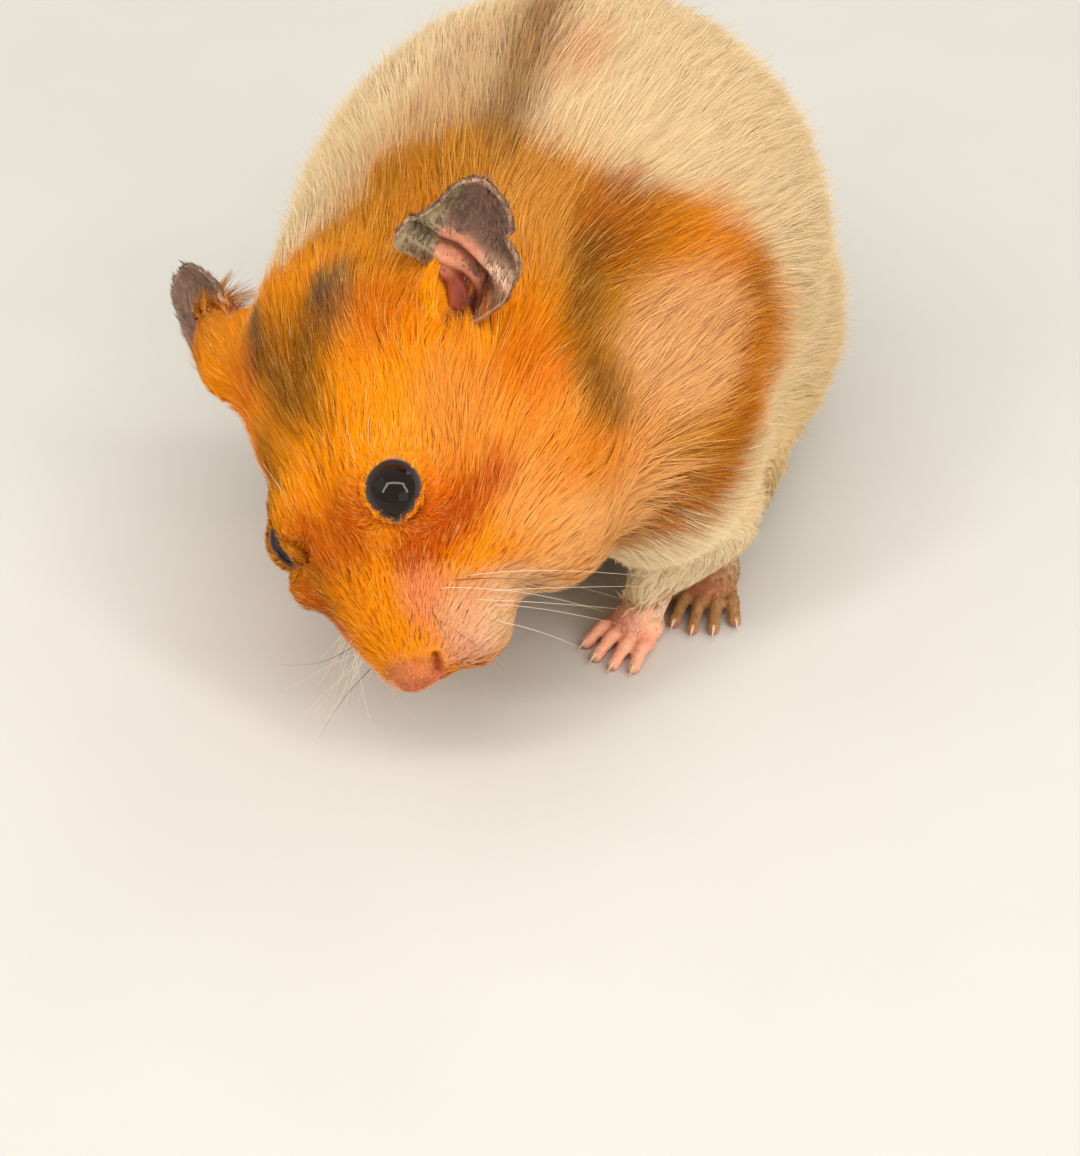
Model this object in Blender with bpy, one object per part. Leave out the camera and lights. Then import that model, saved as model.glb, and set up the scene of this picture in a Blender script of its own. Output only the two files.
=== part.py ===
"""A Syrian hamster at life size, crouched on all fours with its head bent down and tilted, as if gnawing.

The animal faces -Y, its left side is +X and +Z is up. Lengths are in millimetres and angles in degrees.
The flesh is modelled whole, from ellipsoids, a lofted head and tapered limbs, out to the tips of the coat.
Thin cuts then part it.
"""

import math

import bmesh
import bpy
from mathutils import Matrix, Vector

MM = 0.001
GAP = 0.3  # the cut left between two touching parts

# Trunk: one egg, widened by the belly, the chest, the haunches and the shoulders.
TRUNK_CENTRE, TRUNK_SIZE = (-0.8, -11.5, 27.5), (28.8, 33.5, 27.6)
BELLY_CENTRE, BELLY_SIZE = (-0.5, -11, 17), (28.5, 29, 18)
CHEST_CENTRE, CHEST_SIZE = (-1, -31, 24), (20, 16, 18)
HAUNCH_CENTRE, HAUNCH_SIZE = (17, -4, 17), (12, 17, 17)
SHOULDER_CENTRE, SHOULDER_SIZE = (15.5, -31, 24), (12.5, 14, 15)
NECK_BACK, NECK_BACK_RADIUS, NECK_FRONT_RADIUS = (-2, -26, 34), 20, 17
TAIL_ROOT, TAIL_TIP, TAIL_RADII = (-0.5, 13, 14), (0, 22, 8), (2.8, 1.4)

# Head, in a frame of its own: X runs forward to the nose, Y to its left and Z up, from the tip of the nose.
NOSE_TIP = (4, -66, 15)
HEAD_YAW, HEAD_PITCH, HEAD_ROLL = 22.5, 26, 48  # turned left, bent down, left cheek lifted
# Distance behind the nose, half width, top and underside of the head there.
HEAD_RINGS = (
    (0.6, 2.4, 1.6, -2.6),
    (2.0, 4.6, 3.4, -5.2),
    (5.0, 7.5, 5.8, -7.6),
    (10.0, 10.8, 9.2, -10.2),
    (16.0, 13.2, 12.4, -12.4),
    (23.0, 15.8, 14.8, -14.2),
    (30.0, 17.4, 16.0, -15.2),
    (37.0, 17.6, 16.2, -15.2),
    (43.0, 15.0, 14.0, -13.0),
)
RING_SIDES = 24
CHEEK_CENTRE, CHEEK_SIZE = (-21.5, 10.8, -7), (13.5, 9.2, 10.5)
MUZZLE_CENTRE, MUZZLE_SIZE = (-6.8, 4.6, -3.4), (5.8, 4.4, 4.6)
EYE_CENTRE, EYE_RADIUS = (-15.6, 7.1, 8.0), 2.9
NOSE_CENTRE, NOSE_SIZE = (-1.5, 0, 0.0), (1.9, 2.6, 2.0)
SKULL_BACK = (-38, 0, 0)  # where the neck takes over

# Ears: a cupped leaf on each side. The left stands up and the right is laid back.
EAR_ROOTS = {1: (-32.8, 15.7, 7.9), -1: (-36.8, 15.0, 9.7)}
EAR_RISES = {1: (-0.42, 0.80, 0.42), -1: (-0.88, 0.36, 0.31)}
EAR_OPENS = (0.72, 0.15, 0.5)
EAR_HALF_WIDTHS = {1: 5.8, -1: 4.8}
EAR_LENGTH, EAR_THICKNESS, EAR_SUNK = 15.5, 0.7, 2.0
EAR_ROWS, EAR_COLUMNS = 8, 8
EAR_CURL_AT_ROOT, EAR_CURL_AT_TIP = 62, 34
EAR_BOW = 1.2  # how far the middle bows away from the opening
EAR_MOUNDS = {1: (4.6, 1.0, 3.4), -1: (5.2, 6.0, 3.4)}  # fur round the root: radius, height, radius there
MOUND_SET_BACK = 0.8  # how far behind the ear's root the fur is centred

# Legs: (x, y, z, radius) from the body down to the ankle, then where each foot springs from and points.
FORELEGS = {
    "left": ((16, -28, 20, 10), (21.5, -28, 11.5, 5.8), (17.0, -35.4, 5.3, 3.6)),
    "right": ((-15.5, -28, 20, 10), (-17.5, -28, 11, 6.6), (-13.5, -30, 5.6, 4.0)),
}
HIND_LEGS = {
    "left": ((16.5, -4, 16, 12), (20, -14.5, 8.5, 6.6), (21.2, -21, 4.8, 3.8)),
    "right": ((-17, -4, 16, 12), (-20.5, -11, 9, 7), (-20, -14, 5, 4.4)),
}
# Root of the foot and its heading, positive towards the animal's left.
FOREPAWS = {"left": ((17.4, -34.6), -16), "right": ((-12.8, -31.0), 4)}
HINDFEET = {"left": ((21.4, -22.9), 5), "right": ((-20.5, -15.0), -8)}

# Digits: sideways place at the palm, angle from the foot's heading, length.
FORE_DIGITS = ((-2.3, -11, 3.6), (-0.8, -3, 4.6), (0.8, 4, 4.6), (2.3, 12, 3.8))
HIND_DIGITS = ((-2.8, -20, 3.4), (-1.5, -7, 5.0), (0.0, 0, 5.5), (1.5, 7, 5.0), (2.8, 22, 3.4))
FORE_PALM, HIND_PALM = (4.6, 3.2, 3.8), (8.5, 3.5, 3.8)  # length, half width, height
PAD_AHEAD, PAD_HEIGHT, PAD_LONG, PAD_TALL = 0.45, 0.42, 0.62, 0.55  # shares of the palm's length and height
HEEL_WIDTH, INSTEP_WIDTH, DIGITS_AHEAD = 0.65, 0.8, 0.72  # shares of its half width, and of its length
DIGIT_RADIUS = 0.85
# Shares of a digit's radius: how thick it is at its base and tip, how its knuckle rises and its tip drops.
DIGIT_BASE, DIGIT_TIP, KNUCKLE_RISE, TIP_DROP = 1.1, 0.85, 0.6, 0.25
CLAW_LENGTH, CLAW_ROOT, CLAW_TIP = 1.5, 0.42, 0.27
CLAW_FROM_TIP, CLAW_SHOWN, CLAW_DROP = 0.6, 0.8, 0.12  # in digit radii, and shares of the claw's length

# Fineness: the size of the remeshing cubes and the triangles kept.
FLESH_CUBE, FLESH_SMOOTHING, FLESH_TRIANGLES = 0.8, 14, 2200
FOOT_CUBE, FOOT_SMOOTHING, FOOT_TRIANGLES = 0.3, 2, 400
BOUNDARY_CUBE, BOUNDARY_TRIANGLES = 1.2, 170
BOUNDARY_GROWTH = 1.0  # how far a part reaches beyond its own shape into the blend round it

# The neck is what lies ahead of this plane, once the head and the forelegs are parted off.
NECK_PLANE_POINT, NECK_PLANE_NORMAL = (-3, -29, 46), (0.12, -0.82, 0.56)
CUTTER_DEPTH, CUTTER_SIDE = 60, 160

COLOURS = {  # colour, roughness
    "fur_golden": ("#c9781c", 0.75),
    "fur_cream": ("#e3c999", 0.75),
    "bare_skin": ("#dc9a7c", 0.55),
    "ear_skin": ("#7a5a46", 0.6),
    "eye_dark": ("#140d0a", 0.08),
    "nose_skin": ("#df8a6a", 0.45),
}


# ---------------------------------------------------------------- tools


def vec(place):
    """A place in millimetres as Blender's metres."""
    return Vector(place) * MM


def linear(code):
    """A hex colour as linear numbers."""
    channels = [int(code[i : i + 2], 16) / 255 for i in (1, 3, 5)]
    return [c / 12.92 if c <= 0.04045 else ((c + 0.055) / 1.055) ** 2.4 for c in channels] + [1]


def finish(obj, kind):
    """Gives the object a material of its own, of that kind."""
    code, roughness = COLOURS[kind]
    made = bpy.data.materials.new(f"{kind}_{obj.name}")
    made.use_nodes = True
    made.diffuse_color = linear(code)
    shader = made.node_tree.nodes["Principled BSDF"]
    shader.inputs["Base Color"].default_value = linear(code)
    shader.inputs["Roughness"].default_value = roughness
    obj.data.materials.clear()
    obj.data.materials.append(made)
    obj.data.shade_smooth()


def on_side(place, side):
    """A place in the head's frame, on its left for side 1 and its right for side -1."""
    return (place[0], side * place[1], place[2])


def across_body(place, side):
    """A place on the body, on its left for side 1 and its right for side -1."""
    return (side * place[0], place[1], place[2])


def head_frame():
    """The matrix from the head's own frame, in metres, to the body's."""
    facing = Matrix(((0, 1, 0), (-1, 0, 0), (0, 0, 1))).to_4x4()  # X to the front, Y to the left
    yaw = Matrix.Rotation(math.radians(HEAD_YAW), 4, "Z")
    pitch = Matrix.Rotation(math.radians(HEAD_PITCH), 4, "Y")
    roll = Matrix.Rotation(math.radians(HEAD_ROLL), 4, "X")
    return Matrix.Translation(vec(NOSE_TIP)) @ yaw @ facing @ pitch @ roll


def ball(shape, centre, radii, frame=None, detail=3):
    """Adds an ellipsoid, placed in frame."""
    frame = frame or Matrix.Identity(4)
    place = frame @ Matrix.Translation(vec(centre)) @ Matrix.Diagonal((*vec(radii), 1))
    bmesh.ops.create_icosphere(shape, subdivisions=detail, radius=1.0, matrix=place)


def wrap(shape):
    """Turns the shape into its convex hull."""
    faces = shape.faces[:]
    hull = bmesh.ops.convex_hull(shape, input=shape.verts, use_existing_faces=False)
    loose = hull["geom_interior"] + hull["geom_unused"]
    spare = {item for item in loose if isinstance(item, bmesh.types.BMVert)}
    old = [face for face in faces if face.is_valid and face not in set(hull["geom"])]
    bmesh.ops.delete(shape, geom=old, context="FACES_ONLY")
    bmesh.ops.delete(shape, geom=list(spare), context="VERTS")


def capsule(shape, start, end, frame=None):
    """Adds the tapered shape between two spheres, each (x, y, z, radius)."""
    piece = bmesh.new()
    for x, y, z, radius in (start, end):
        ball(piece, (x, y, z), (radius,) * 3, frame, detail=2)
    wrap(piece)
    mesh = bpy.data.meshes.new("capsule")
    piece.to_mesh(mesh)
    piece.free()
    shape.from_mesh(mesh)
    bpy.data.meshes.remove(mesh)


def chain(shape, stations, frame=None, grown=0.0):
    """Adds capsules through (x, y, z, radius) stations, all grown by the same amount."""
    fuller = [(x, y, z, radius + grown) for x, y, z, radius in stations]
    for start, end in zip(fuller, fuller[1:]):
        capsule(shape, start, end, frame)


def to_object(name, shape):
    mesh = bpy.data.meshes.new(name)
    shape.to_mesh(mesh)
    shape.free()
    made = bpy.data.objects.new(name, mesh)
    bpy.context.scene.collection.objects.link(made)
    return made


def settle(obj):
    """Turns the object's modifiers into its mesh."""
    bpy.context.view_layer.update()
    evaluated = obj.evaluated_get(bpy.context.evaluated_depsgraph_get())
    mesh = bpy.data.meshes.new_from_object(evaluated)
    obj.modifiers.clear()
    old, obj.data = obj.data, mesh
    bpy.data.meshes.remove(old)
    mesh.name = obj.name


def triangles_in(obj):
    return sum(len(face.vertices) - 2 for face in obj.data.polygons)


def melt(obj, cube, smoothing, triangles):
    """Joins the object's overlapping shapes into one skin, rounds it and thins it to so many triangles."""
    remesh = obj.modifiers.new("one_skin", "REMESH")
    remesh.mode = "VOXEL"
    remesh.voxel_size = cube * MM
    if smoothing:
        rounding = obj.modifiers.new("rounding", "SMOOTH")
        rounding.factor, rounding.iterations = 0.5, smoothing
    settle(obj)
    fewer = obj.modifiers.new("fewer", "DECIMATE")
    fewer.ratio = min(1.0, triangles / triangles_in(obj))
    fewer.use_collapse_triangulate = True
    settle(obj)


def cut(obj, tool, operation="DIFFERENCE"):
    step = obj.modifiers.new("cut", "BOOLEAN")
    step.operation, step.solver, step.object = operation, "EXACT", tool
    settle(obj)


def keep_largest(obj):
    """Drops the crumbs that a cut leaves beside the main piece."""
    shape = bmesh.new()
    shape.from_mesh(obj.data)
    waiting = set(shape.verts)
    islands = []
    while waiting:
        island, edge = set(), {waiting.pop()}
        while edge:
            island |= edge
            edge = {e.other_vert(v) for v in edge for e in v.link_edges} - island
        waiting -= island
        islands.append(island)
    islands.sort(key=len)
    for island in islands[:-1]:
        bmesh.ops.delete(shape, geom=list(island), context="VERTS")
    shape.to_mesh(obj.data)
    shape.free()


def copy_of(obj, name):
    made = obj.copy()
    made.data = obj.data.copy()
    made.name = made.data.name = name
    bpy.context.scene.collection.objects.link(made)
    return made


def discard(*objects):
    for obj in objects:
        bpy.data.objects.remove(obj)


def swollen(obj, by):
    """A copy grown outwards by that many millimetres."""
    made = copy_of(obj, "swollen")
    grow = made.modifiers.new("grow", "DISPLACE")
    grow.strength, grow.mid_level = by * MM, 0.0
    settle(made)
    return made


def slab(point, normal, set_back=0.0):
    """A cutting block on the normal's side of the plane through point, moved back by that much."""
    axis = Vector(normal).normalized()
    centre = Vector(point) + axis * (CUTTER_DEPTH / 2 - set_back)
    turn = axis.to_track_quat("Z", "Y").to_matrix().to_4x4()
    size = Matrix.Diagonal((*vec((CUTTER_SIDE, CUTTER_SIDE, CUTTER_DEPTH)), 1))
    shape = bmesh.new()
    bmesh.ops.create_cube(shape, size=1.0, matrix=Matrix.Translation(vec(centre)) @ turn @ size)
    return to_object("slab", shape)


def flatten_below(obj):
    """Cuts off whatever reaches below the floor."""
    below = slab((0, 0, 0), (0, 0, -1))
    cut(obj, below)
    discard(below)


# ---------------------------------------------------------------- shapes


def add_head(shape, frame):
    """Adds the head: rings bridged from the nose to the back of the skull, with cheeks and whisker pads."""
    loops = []
    for back, half_width, top, bottom in HEAD_RINGS:
        middle, half_height = (top + bottom) / 2, (top - bottom) / 2
        angles = [2 * math.pi * i / RING_SIDES for i in range(RING_SIDES)]
        spots = [(-back, half_width * math.cos(a), middle + half_height * math.sin(a)) for a in angles]
        ring = [shape.verts.new(frame @ vec(spot)) for spot in spots]
        loops.append([shape.edges.new((ring[i - 1], ring[i])) for i in range(RING_SIDES)])
    skin = []
    for first, second in zip(loops, loops[1:]):
        skin += bmesh.ops.bridge_loops(shape, edges=first + second)["faces"]
    for loop in (loops[0], loops[-1]):
        skin += bmesh.ops.holes_fill(shape, edges=loop, sides=RING_SIDES)["faces"]
    bmesh.ops.recalc_face_normals(shape, faces=skin)
    for side in (1, -1):
        ball(shape, on_side(CHEEK_CENTRE, side), CHEEK_SIZE, frame)
        ball(shape, on_side(MUZZLE_CENTRE, side), MUZZLE_SIZE, frame)
        foot_radius, height, top_radius = EAR_MOUNDS[side]
        root = Vector(EAR_ROOTS[side]) - Vector(EAR_OPENS) * MOUND_SET_BACK
        top = root + Vector(EAR_RISES[side]).normalized() * height
        capsule(shape, (*on_side(root, side), foot_radius), (*on_side(top, side), top_radius), frame)


def add_hind_leg(shape, side, grown=0.0):
    """Adds the haunch and the leg under it."""
    direction = 1 if side == "left" else -1
    ball(shape, across_body(HAUNCH_CENTRE, direction), [radius + grown for radius in HAUNCH_SIZE])
    chain(shape, HIND_LEGS[side], grown=grown)


def whole_body(frame):
    """Head, neck, trunk and legs as one skin, flat where it rests."""
    shape = bmesh.new()
    ball(shape, TRUNK_CENTRE, TRUNK_SIZE, detail=4)
    ball(shape, BELLY_CENTRE, BELLY_SIZE)
    ball(shape, CHEST_CENTRE, CHEST_SIZE)
    for side, direction in (("left", 1), ("right", -1)):
        ball(shape, across_body(SHOULDER_CENTRE, direction), SHOULDER_SIZE)
        chain(shape, FORELEGS[side])
        add_hind_leg(shape, side)
    nape = frame @ vec(SKULL_BACK) / MM
    capsule(shape, (*NECK_BACK, NECK_BACK_RADIUS), (*nape, NECK_FRONT_RADIUS))
    add_head(shape, frame)
    body = to_object("trunk", shape)
    melt(body, FLESH_CUBE, FLESH_SMOOTHING, FLESH_TRIANGLES)
    flatten_below(body)
    return body


def foot(name, spot, heading, digits, palm):
    """A paw with its digits and claws, flat underneath."""
    turn = Matrix.Rotation(math.radians(heading), 4, "Z")
    place = Matrix.Translation(vec((*spot, 0))) @ turn
    length, half_width, height = palm
    shape = bmesh.new()
    pad = (half_width, length * PAD_LONG, height * PAD_TALL)
    ball(shape, (0, -length * PAD_AHEAD, height * PAD_HEIGHT), pad, place)
    heel = (0, 0, height, half_width * HEEL_WIDTH)
    instep = (0, -length / 2, height / 2, half_width * INSTEP_WIDTH)
    capsule(shape, heel, instep, place)
    for offset, splay, reach in digits:
        angle = math.radians(splay)
        ahead = Vector((math.sin(angle), -math.cos(angle), 0))
        base = Vector((offset, -length * DIGITS_AHEAD, DIGIT_RADIUS * DIGIT_BASE))
        knuckle = base + ahead * reach / 2 + Vector((0, 0, DIGIT_RADIUS * KNUCKLE_RISE))
        tip = base + ahead * reach - Vector((0, 0, DIGIT_RADIUS * TIP_DROP))
        claw = tip + ahead * (DIGIT_RADIUS * CLAW_FROM_TIP + CLAW_LENGTH * CLAW_SHOWN)
        claw -= Vector((0, 0, CLAW_LENGTH * CLAW_DROP))
        thick, thin = DIGIT_RADIUS * DIGIT_BASE, DIGIT_RADIUS * DIGIT_TIP
        stations = ((*base, thick), (*knuckle, DIGIT_RADIUS), (*tip, thin))
        chain(shape, stations, place)
        capsule(shape, (*tip, CLAW_ROOT), (*claw, CLAW_TIP), place)
    made = to_object(name, shape)
    melt(made, FOOT_CUBE, FOOT_SMOOTHING, FOOT_TRIANGLES)
    flatten_below(made)
    return made


def ear_outline(up):
    """Half width of the ear, as a share of its widest, at a share of its height."""
    flare = 0.9 + 0.35 * up - 0.45 * up * up
    return flare * math.sqrt(max(0.0, 1 - up**3.2)) + 0.02


def ear(name, frame, side):
    """A cupped leaf: a grid bent across its width and given its thickness."""
    rise = Vector(EAR_RISES[side]).normalized()
    opens = Vector(EAR_OPENS)
    opens = (opens - rise * opens.dot(rise)).normalized()
    across = rise.cross(opens)
    shape = bmesh.new()
    grid = []
    for i in range(EAR_ROWS + 1):
        up = i / EAR_ROWS
        curl = math.radians(EAR_CURL_AT_ROOT + (EAR_CURL_AT_TIP - EAR_CURL_AT_ROOT) * up)
        radius = EAR_HALF_WIDTHS[side] * ear_outline(up) / curl
        row = []
        for j in range(EAR_COLUMNS + 1):
            bend = (2 * j / EAR_COLUMNS - 1) * curl
            height = EAR_LENGTH * up - EAR_SUNK
            towards = radius * (1 - math.cos(bend)) - EAR_BOW * math.sin(math.pi * up)
            sideways = across * radius * math.sin(bend)
            spot = Vector(EAR_ROOTS[side]) + rise * height + sideways + opens * towards
            row.append(shape.verts.new(frame @ vec(on_side(spot, side))))
        grid.append(row)
    for lower, upper in zip(grid, grid[1:]):
        for j in range(EAR_COLUMNS):
            shape.faces.new((lower[j], lower[j + 1], upper[j + 1], upper[j]))
    bmesh.ops.recalc_face_normals(shape, faces=shape.faces[:])
    made = to_object(name, shape)
    wall = made.modifiers.new("wall", "SOLIDIFY")
    wall.thickness, wall.offset = EAR_THICKNESS * MM, 0.0
    settle(made)
    return made


def eyeball(name, frame, side, grown=0.0):
    shape = bmesh.new()
    ball(shape, on_side(EYE_CENTRE, side), (EYE_RADIUS + grown,) * 3, frame)
    return to_object(name, shape)


def nose(frame):
    shape = bmesh.new()
    ball(shape, NOSE_CENTRE, NOSE_SIZE, frame)
    return to_object("nose", shape)


def tail():
    shape = bmesh.new()
    capsule(shape, (*TAIL_ROOT, TAIL_RADII[0]), (*TAIL_TIP, TAIL_RADII[1]))
    return to_object("tail", shape)


# ---------------------------------------------------------------- parting


def boundary(add_shape):
    """The region that a part takes up: the hull of its own shape."""
    shape = bmesh.new()
    add_shape(shape)
    wrap(shape)
    region = to_object("region", shape)
    melt(region, BOUNDARY_CUBE, 0, BOUNDARY_TRIANGLES)
    return region


def take_part(body, name, add_shape):
    """Parts what lies inside the shape from the body."""
    region = boundary(add_shape)
    inside, outside = swollen(region, BOUNDARY_GROWTH), swollen(region, BOUNDARY_GROWTH + GAP)
    taken = copy_of(body, name)
    cut(taken, inside, "INTERSECT")
    cut(body, outside)
    discard(region, inside, outside)
    keep_largest(taken)
    keep_largest(body)
    return taken


def take_neck(body):
    """Parts the neck from the trunk along a plane."""
    ahead, back_to = slab(NECK_PLANE_POINT, NECK_PLANE_NORMAL), slab(NECK_PLANE_POINT, NECK_PLANE_NORMAL, GAP)
    taken = copy_of(body, "neck")
    cut(taken, ahead, "INTERSECT")
    cut(body, back_to)
    discard(ahead, back_to)
    keep_largest(taken)
    keep_largest(body)
    return taken


def centre_on_floor(pieces):
    """Moves the animal sideways until its box is centred on the origin, which lies on the floor under it."""
    corners = [vertex.co for piece in pieces for vertex in piece.data.vertices]
    middle = [(min(c[i] for c in corners) + max(c[i] for c in corners)) / 2 for i in (0, 1)]
    for piece in pieces:
        piece.data.transform(Matrix.Translation((-middle[0], -middle[1], 0)))


def build():
    for obj in list(bpy.data.objects):
        bpy.data.objects.remove(obj)
    frame = head_frame()
    trunk = whole_body(frame)
    grown_body = swollen(trunk, GAP)
    bare = [foot(f"forepaw_{side}", *FOREPAWS[side], FORE_DIGITS, FORE_PALM) for side in FOREPAWS]
    bare += [foot(f"hind_foot_{side}", *HINDFEET[side], HIND_DIGITS, HIND_PALM) for side in HINDFEET]
    bare.append(tail())
    ears = [ear("ear_left", frame, 1), ear("ear_right", frame, -1)]
    snout_tip = nose(frame)
    for piece in (*bare, *ears, snout_tip):
        cut(piece, grown_body)
        keep_largest(piece)
    discard(grown_body)
    head = take_part(trunk, "head", lambda shape: add_head(shape, frame))
    eyes = []
    for name, side in (("eye_left", 1), ("eye_right", -1)):
        socket = eyeball("socket", frame, side, GAP)
        cut(head, socket)
        discard(socket)
        eyes.append(eyeball(name, frame, side))
    forelegs = [take_part(trunk, f"foreleg_{s}", lambda shape: chain(shape, FORELEGS[s])) for s in FORELEGS]
    hind_legs = [take_part(trunk, f"hind_leg_{s}", lambda shape: add_hind_leg(shape, s)) for s in HIND_LEGS]
    neck = take_neck(trunk)
    kinds = {"fur_golden": [head, neck], "fur_cream": [trunk, *forelegs, *hind_legs], "bare_skin": bare}
    kinds |= {"ear_skin": ears, "eye_dark": eyes, "nose_skin": [snout_tip]}
    for kind, pieces in kinds.items():
        for piece in pieces:
            finish(piece, kind)
    centre_on_floor([piece for pieces in kinds.values() for piece in pieces])


build()
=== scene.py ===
"""Dresses the hamster's solids: skin, a coat of mesh tufts, eyes with lids, cupped ears, paws and whiskers.

The animal faces -Y, its left side is +X and +Z is up. Lengths are in millimetres and angles in degrees. The
head has a frame of its own: X runs forward to the nose, Y to its left and Z up, from the tip of the nose.
A side is 1 for the animal's left and -1 for its right.
"""

import math
from collections import namedtuple

import bmesh
import bpy
import numpy as np
from mathutils import Matrix, Vector
from mathutils.kdtree import KDTree


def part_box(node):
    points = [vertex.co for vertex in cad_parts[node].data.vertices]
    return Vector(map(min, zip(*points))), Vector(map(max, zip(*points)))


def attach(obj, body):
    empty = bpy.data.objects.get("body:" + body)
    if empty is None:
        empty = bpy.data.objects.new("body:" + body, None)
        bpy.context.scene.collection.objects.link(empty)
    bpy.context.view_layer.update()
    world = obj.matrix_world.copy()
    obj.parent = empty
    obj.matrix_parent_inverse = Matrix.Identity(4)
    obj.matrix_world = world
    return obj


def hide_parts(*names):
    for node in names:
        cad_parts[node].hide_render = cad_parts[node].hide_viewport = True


MM = 0.001
UP = Vector((0, 0, 1))
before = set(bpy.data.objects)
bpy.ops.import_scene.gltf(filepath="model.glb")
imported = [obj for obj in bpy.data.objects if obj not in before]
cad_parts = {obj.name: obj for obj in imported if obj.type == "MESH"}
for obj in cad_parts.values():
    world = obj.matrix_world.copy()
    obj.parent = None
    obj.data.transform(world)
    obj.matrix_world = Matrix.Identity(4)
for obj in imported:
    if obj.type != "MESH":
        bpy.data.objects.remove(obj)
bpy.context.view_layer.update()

# ---------------------------------------------------------------- places on the animal

HEAD_YAW, HEAD_PITCH, HEAD_ROLL = 22.5, 26, 48  # turned left, bent down, left cheek lifted
BETWEEN_EYES = (-15.6, 0, 8.0)  # in the head's frame
EYE_RADIUS = 2.9
BACK_LINE = (2.55, 27.0)  # x and z of the trunk's long axis
SIDES = {1: "left", -1: "right"}
FOREPAWS = ("forepaw_left", "forepaw_right")
HIND_FEET = ("hind_foot_left", "hind_foot_right")
FEET = (*FOREPAWS, *HIND_FEET)
LEGS = ("foreleg_left", "foreleg_right", "hind_leg_left", "hind_leg_right")
FLESH = ("head", "neck", "trunk", "tail", "nose", *LEGS)
BARE = ("ear_left", "ear_right", *FEET)

# The face, in the head's frame.
EYE_AXES = {1: (0.22, 0.64, 0.73), -1: (0.42, 0.18, 0.89)}
EYE_OPENINGS = {1: (52, 50), -1: (37, 12)}  # half angles along and across; the right eye is half shut
FRONT_CORNER, BACK_CORNER = 14, 4  # degrees by which the corners reach further
NOSE_PAD = (-1.2, 0, -0.3)
NOSTRIL = ((-0.7, 1.8, -1.3), (-1.4, 2.7, -0.7), (-2.0, 3.3, 0.2))
LIP_CLEFT = ((-0.5, 0, -1.4), (-1.2, 0, -2.8), (-2.4, 0, -4.4))
MOUTH = ((-2.4, 0, -4.4), (-3.2, 1.6, -5.6), (-5.2, 3.4, -7.2), (-8.6, 5.0, -8.4))

# Ears: a cupped leaf on each side. The left stands up and the right is laid back.
EAR_ROOTS = {1: (-32.8, 15.7, 7.9), -1: (-36.8, 15.0, 9.7)}
EAR_RISES = {1: (-0.42, 0.80, 0.42), -1: (-0.88, 0.36, 0.31)}
EAR_OPENS = {1: (0.72, 0.15, 0.5), -1: (0.72, -0.25, 0.5)}
EAR_HALF_WIDTHS = {1: 5.6, -1: 4.3}
EAR_LENGTHS = {1: 14.3, -1: 16.0}
EAR_SUNK = {1: 1.3, -1: 2.6}  # how deep the leaf's foot lies below the root
EAR_ROLLED = {1: 1.0, -1: 0.0}  # how far the front edge is rolled back
EAR_BACKSETS = {1: 1.3, -1: 0.3}  # how far behind the root the leaf's foot lies
EAR_THICKNESS, EAR_BOW = 0.42, 1.2
EAR_FUR_LINES = {1: 2.0, -1: 6.5}  # height at which each ear comes out of the fur
# The hollow in front of each ear's leaf: how far behind the root and how far out its axis lies, its depth
# below the root, and for each ear its steepness, reach and bare radius. The right ear has hardly any.
BOWL_BACK, BOWL_OUT, BOWL_DEPTH = 2.8, 1.6, 2.2
EAR_BOWLS = {1: (0.14, 4.7, 3.7), -1: (0.7, 0.1, 0.1)}

# Paws: root, heading towards the animal's left, and for each digit its sideways place, splay and length.
PAWS = {
    "forepaw_left": ((20.75, -12.96), -16),
    "forepaw_right": ((-9.45, -9.36), 4),
    "hind_foot_left": ((24.75, -1.26), 5),
    "hind_foot_right": ((-17.15, 6.64), -8),
}
FORE_DIGITS = ((-2.3, -11, 3.6), (-0.8, -3, 4.6), (0.8, 4, 4.6), (2.3, 12, 3.8))
HIND_DIGITS = ((-2.8, -20, 3.4), (-1.5, -7, 5.0), (0.0, 0, 5.5), (1.5, 7, 5.0), (2.8, 22, 3.4))
FORE_PALM, HIND_PALM = (4.6, 3.2, 3.8), (8.5, 3.5, 3.8)  # length, half width, height
DIGIT = 0.85


def vec(place):
    """A place in millimetres as Blender's metres."""
    return Vector(place) * MM


def middle(node):
    """The middle of a node's box, in millimetres."""
    low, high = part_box(node)
    return (low + high) / 2 / MM


def eye_middle(side):
    return middle(f"eye_{SIDES[side]}")


def head_frame():
    """The matrix from the head's own frame to the body's, both in millimetres."""
    facing = Matrix(((0, 1, 0), (-1, 0, 0), (0, 0, 1))).to_4x4()
    yaw = Matrix.Rotation(math.radians(HEAD_YAW), 4, "Z")
    pitch = Matrix.Rotation(math.radians(HEAD_PITCH), 4, "Y")
    roll = Matrix.Rotation(math.radians(HEAD_ROLL), 4, "X")
    turn = yaw @ facing @ pitch @ roll
    eyes = (eye_middle(1) + eye_middle(-1)) / 2
    return Matrix.Translation(eyes) @ turn @ Matrix.Translation(-Vector(BETWEEN_EYES))


HEAD = head_frame()
HEAD_TURN = np.array(HEAD.to_3x3())
NOSE_TIP = np.array(HEAD.translation)


def in_head(spots):
    """Body places as places in the head's frame."""
    return (spots - NOSE_TIP) @ HEAD_TURN


def from_head(spots):
    """Places, as rows, from the head's frame to the body's."""
    return np.asarray(spots, float) @ HEAD_TURN.T + NOSE_TIP


def directed(arrow):
    """A direction in the head's frame as one in the body's."""
    return np.asarray(arrow, float) @ HEAD_TURN.T


def mirrored(place, side):
    """A place or direction in the head's frame, on its left for side 1 and its right for side -1."""
    return np.array(place, float) * (1, side, 1)


# ---------------------------------------------------------------- numbers over the surface


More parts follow.
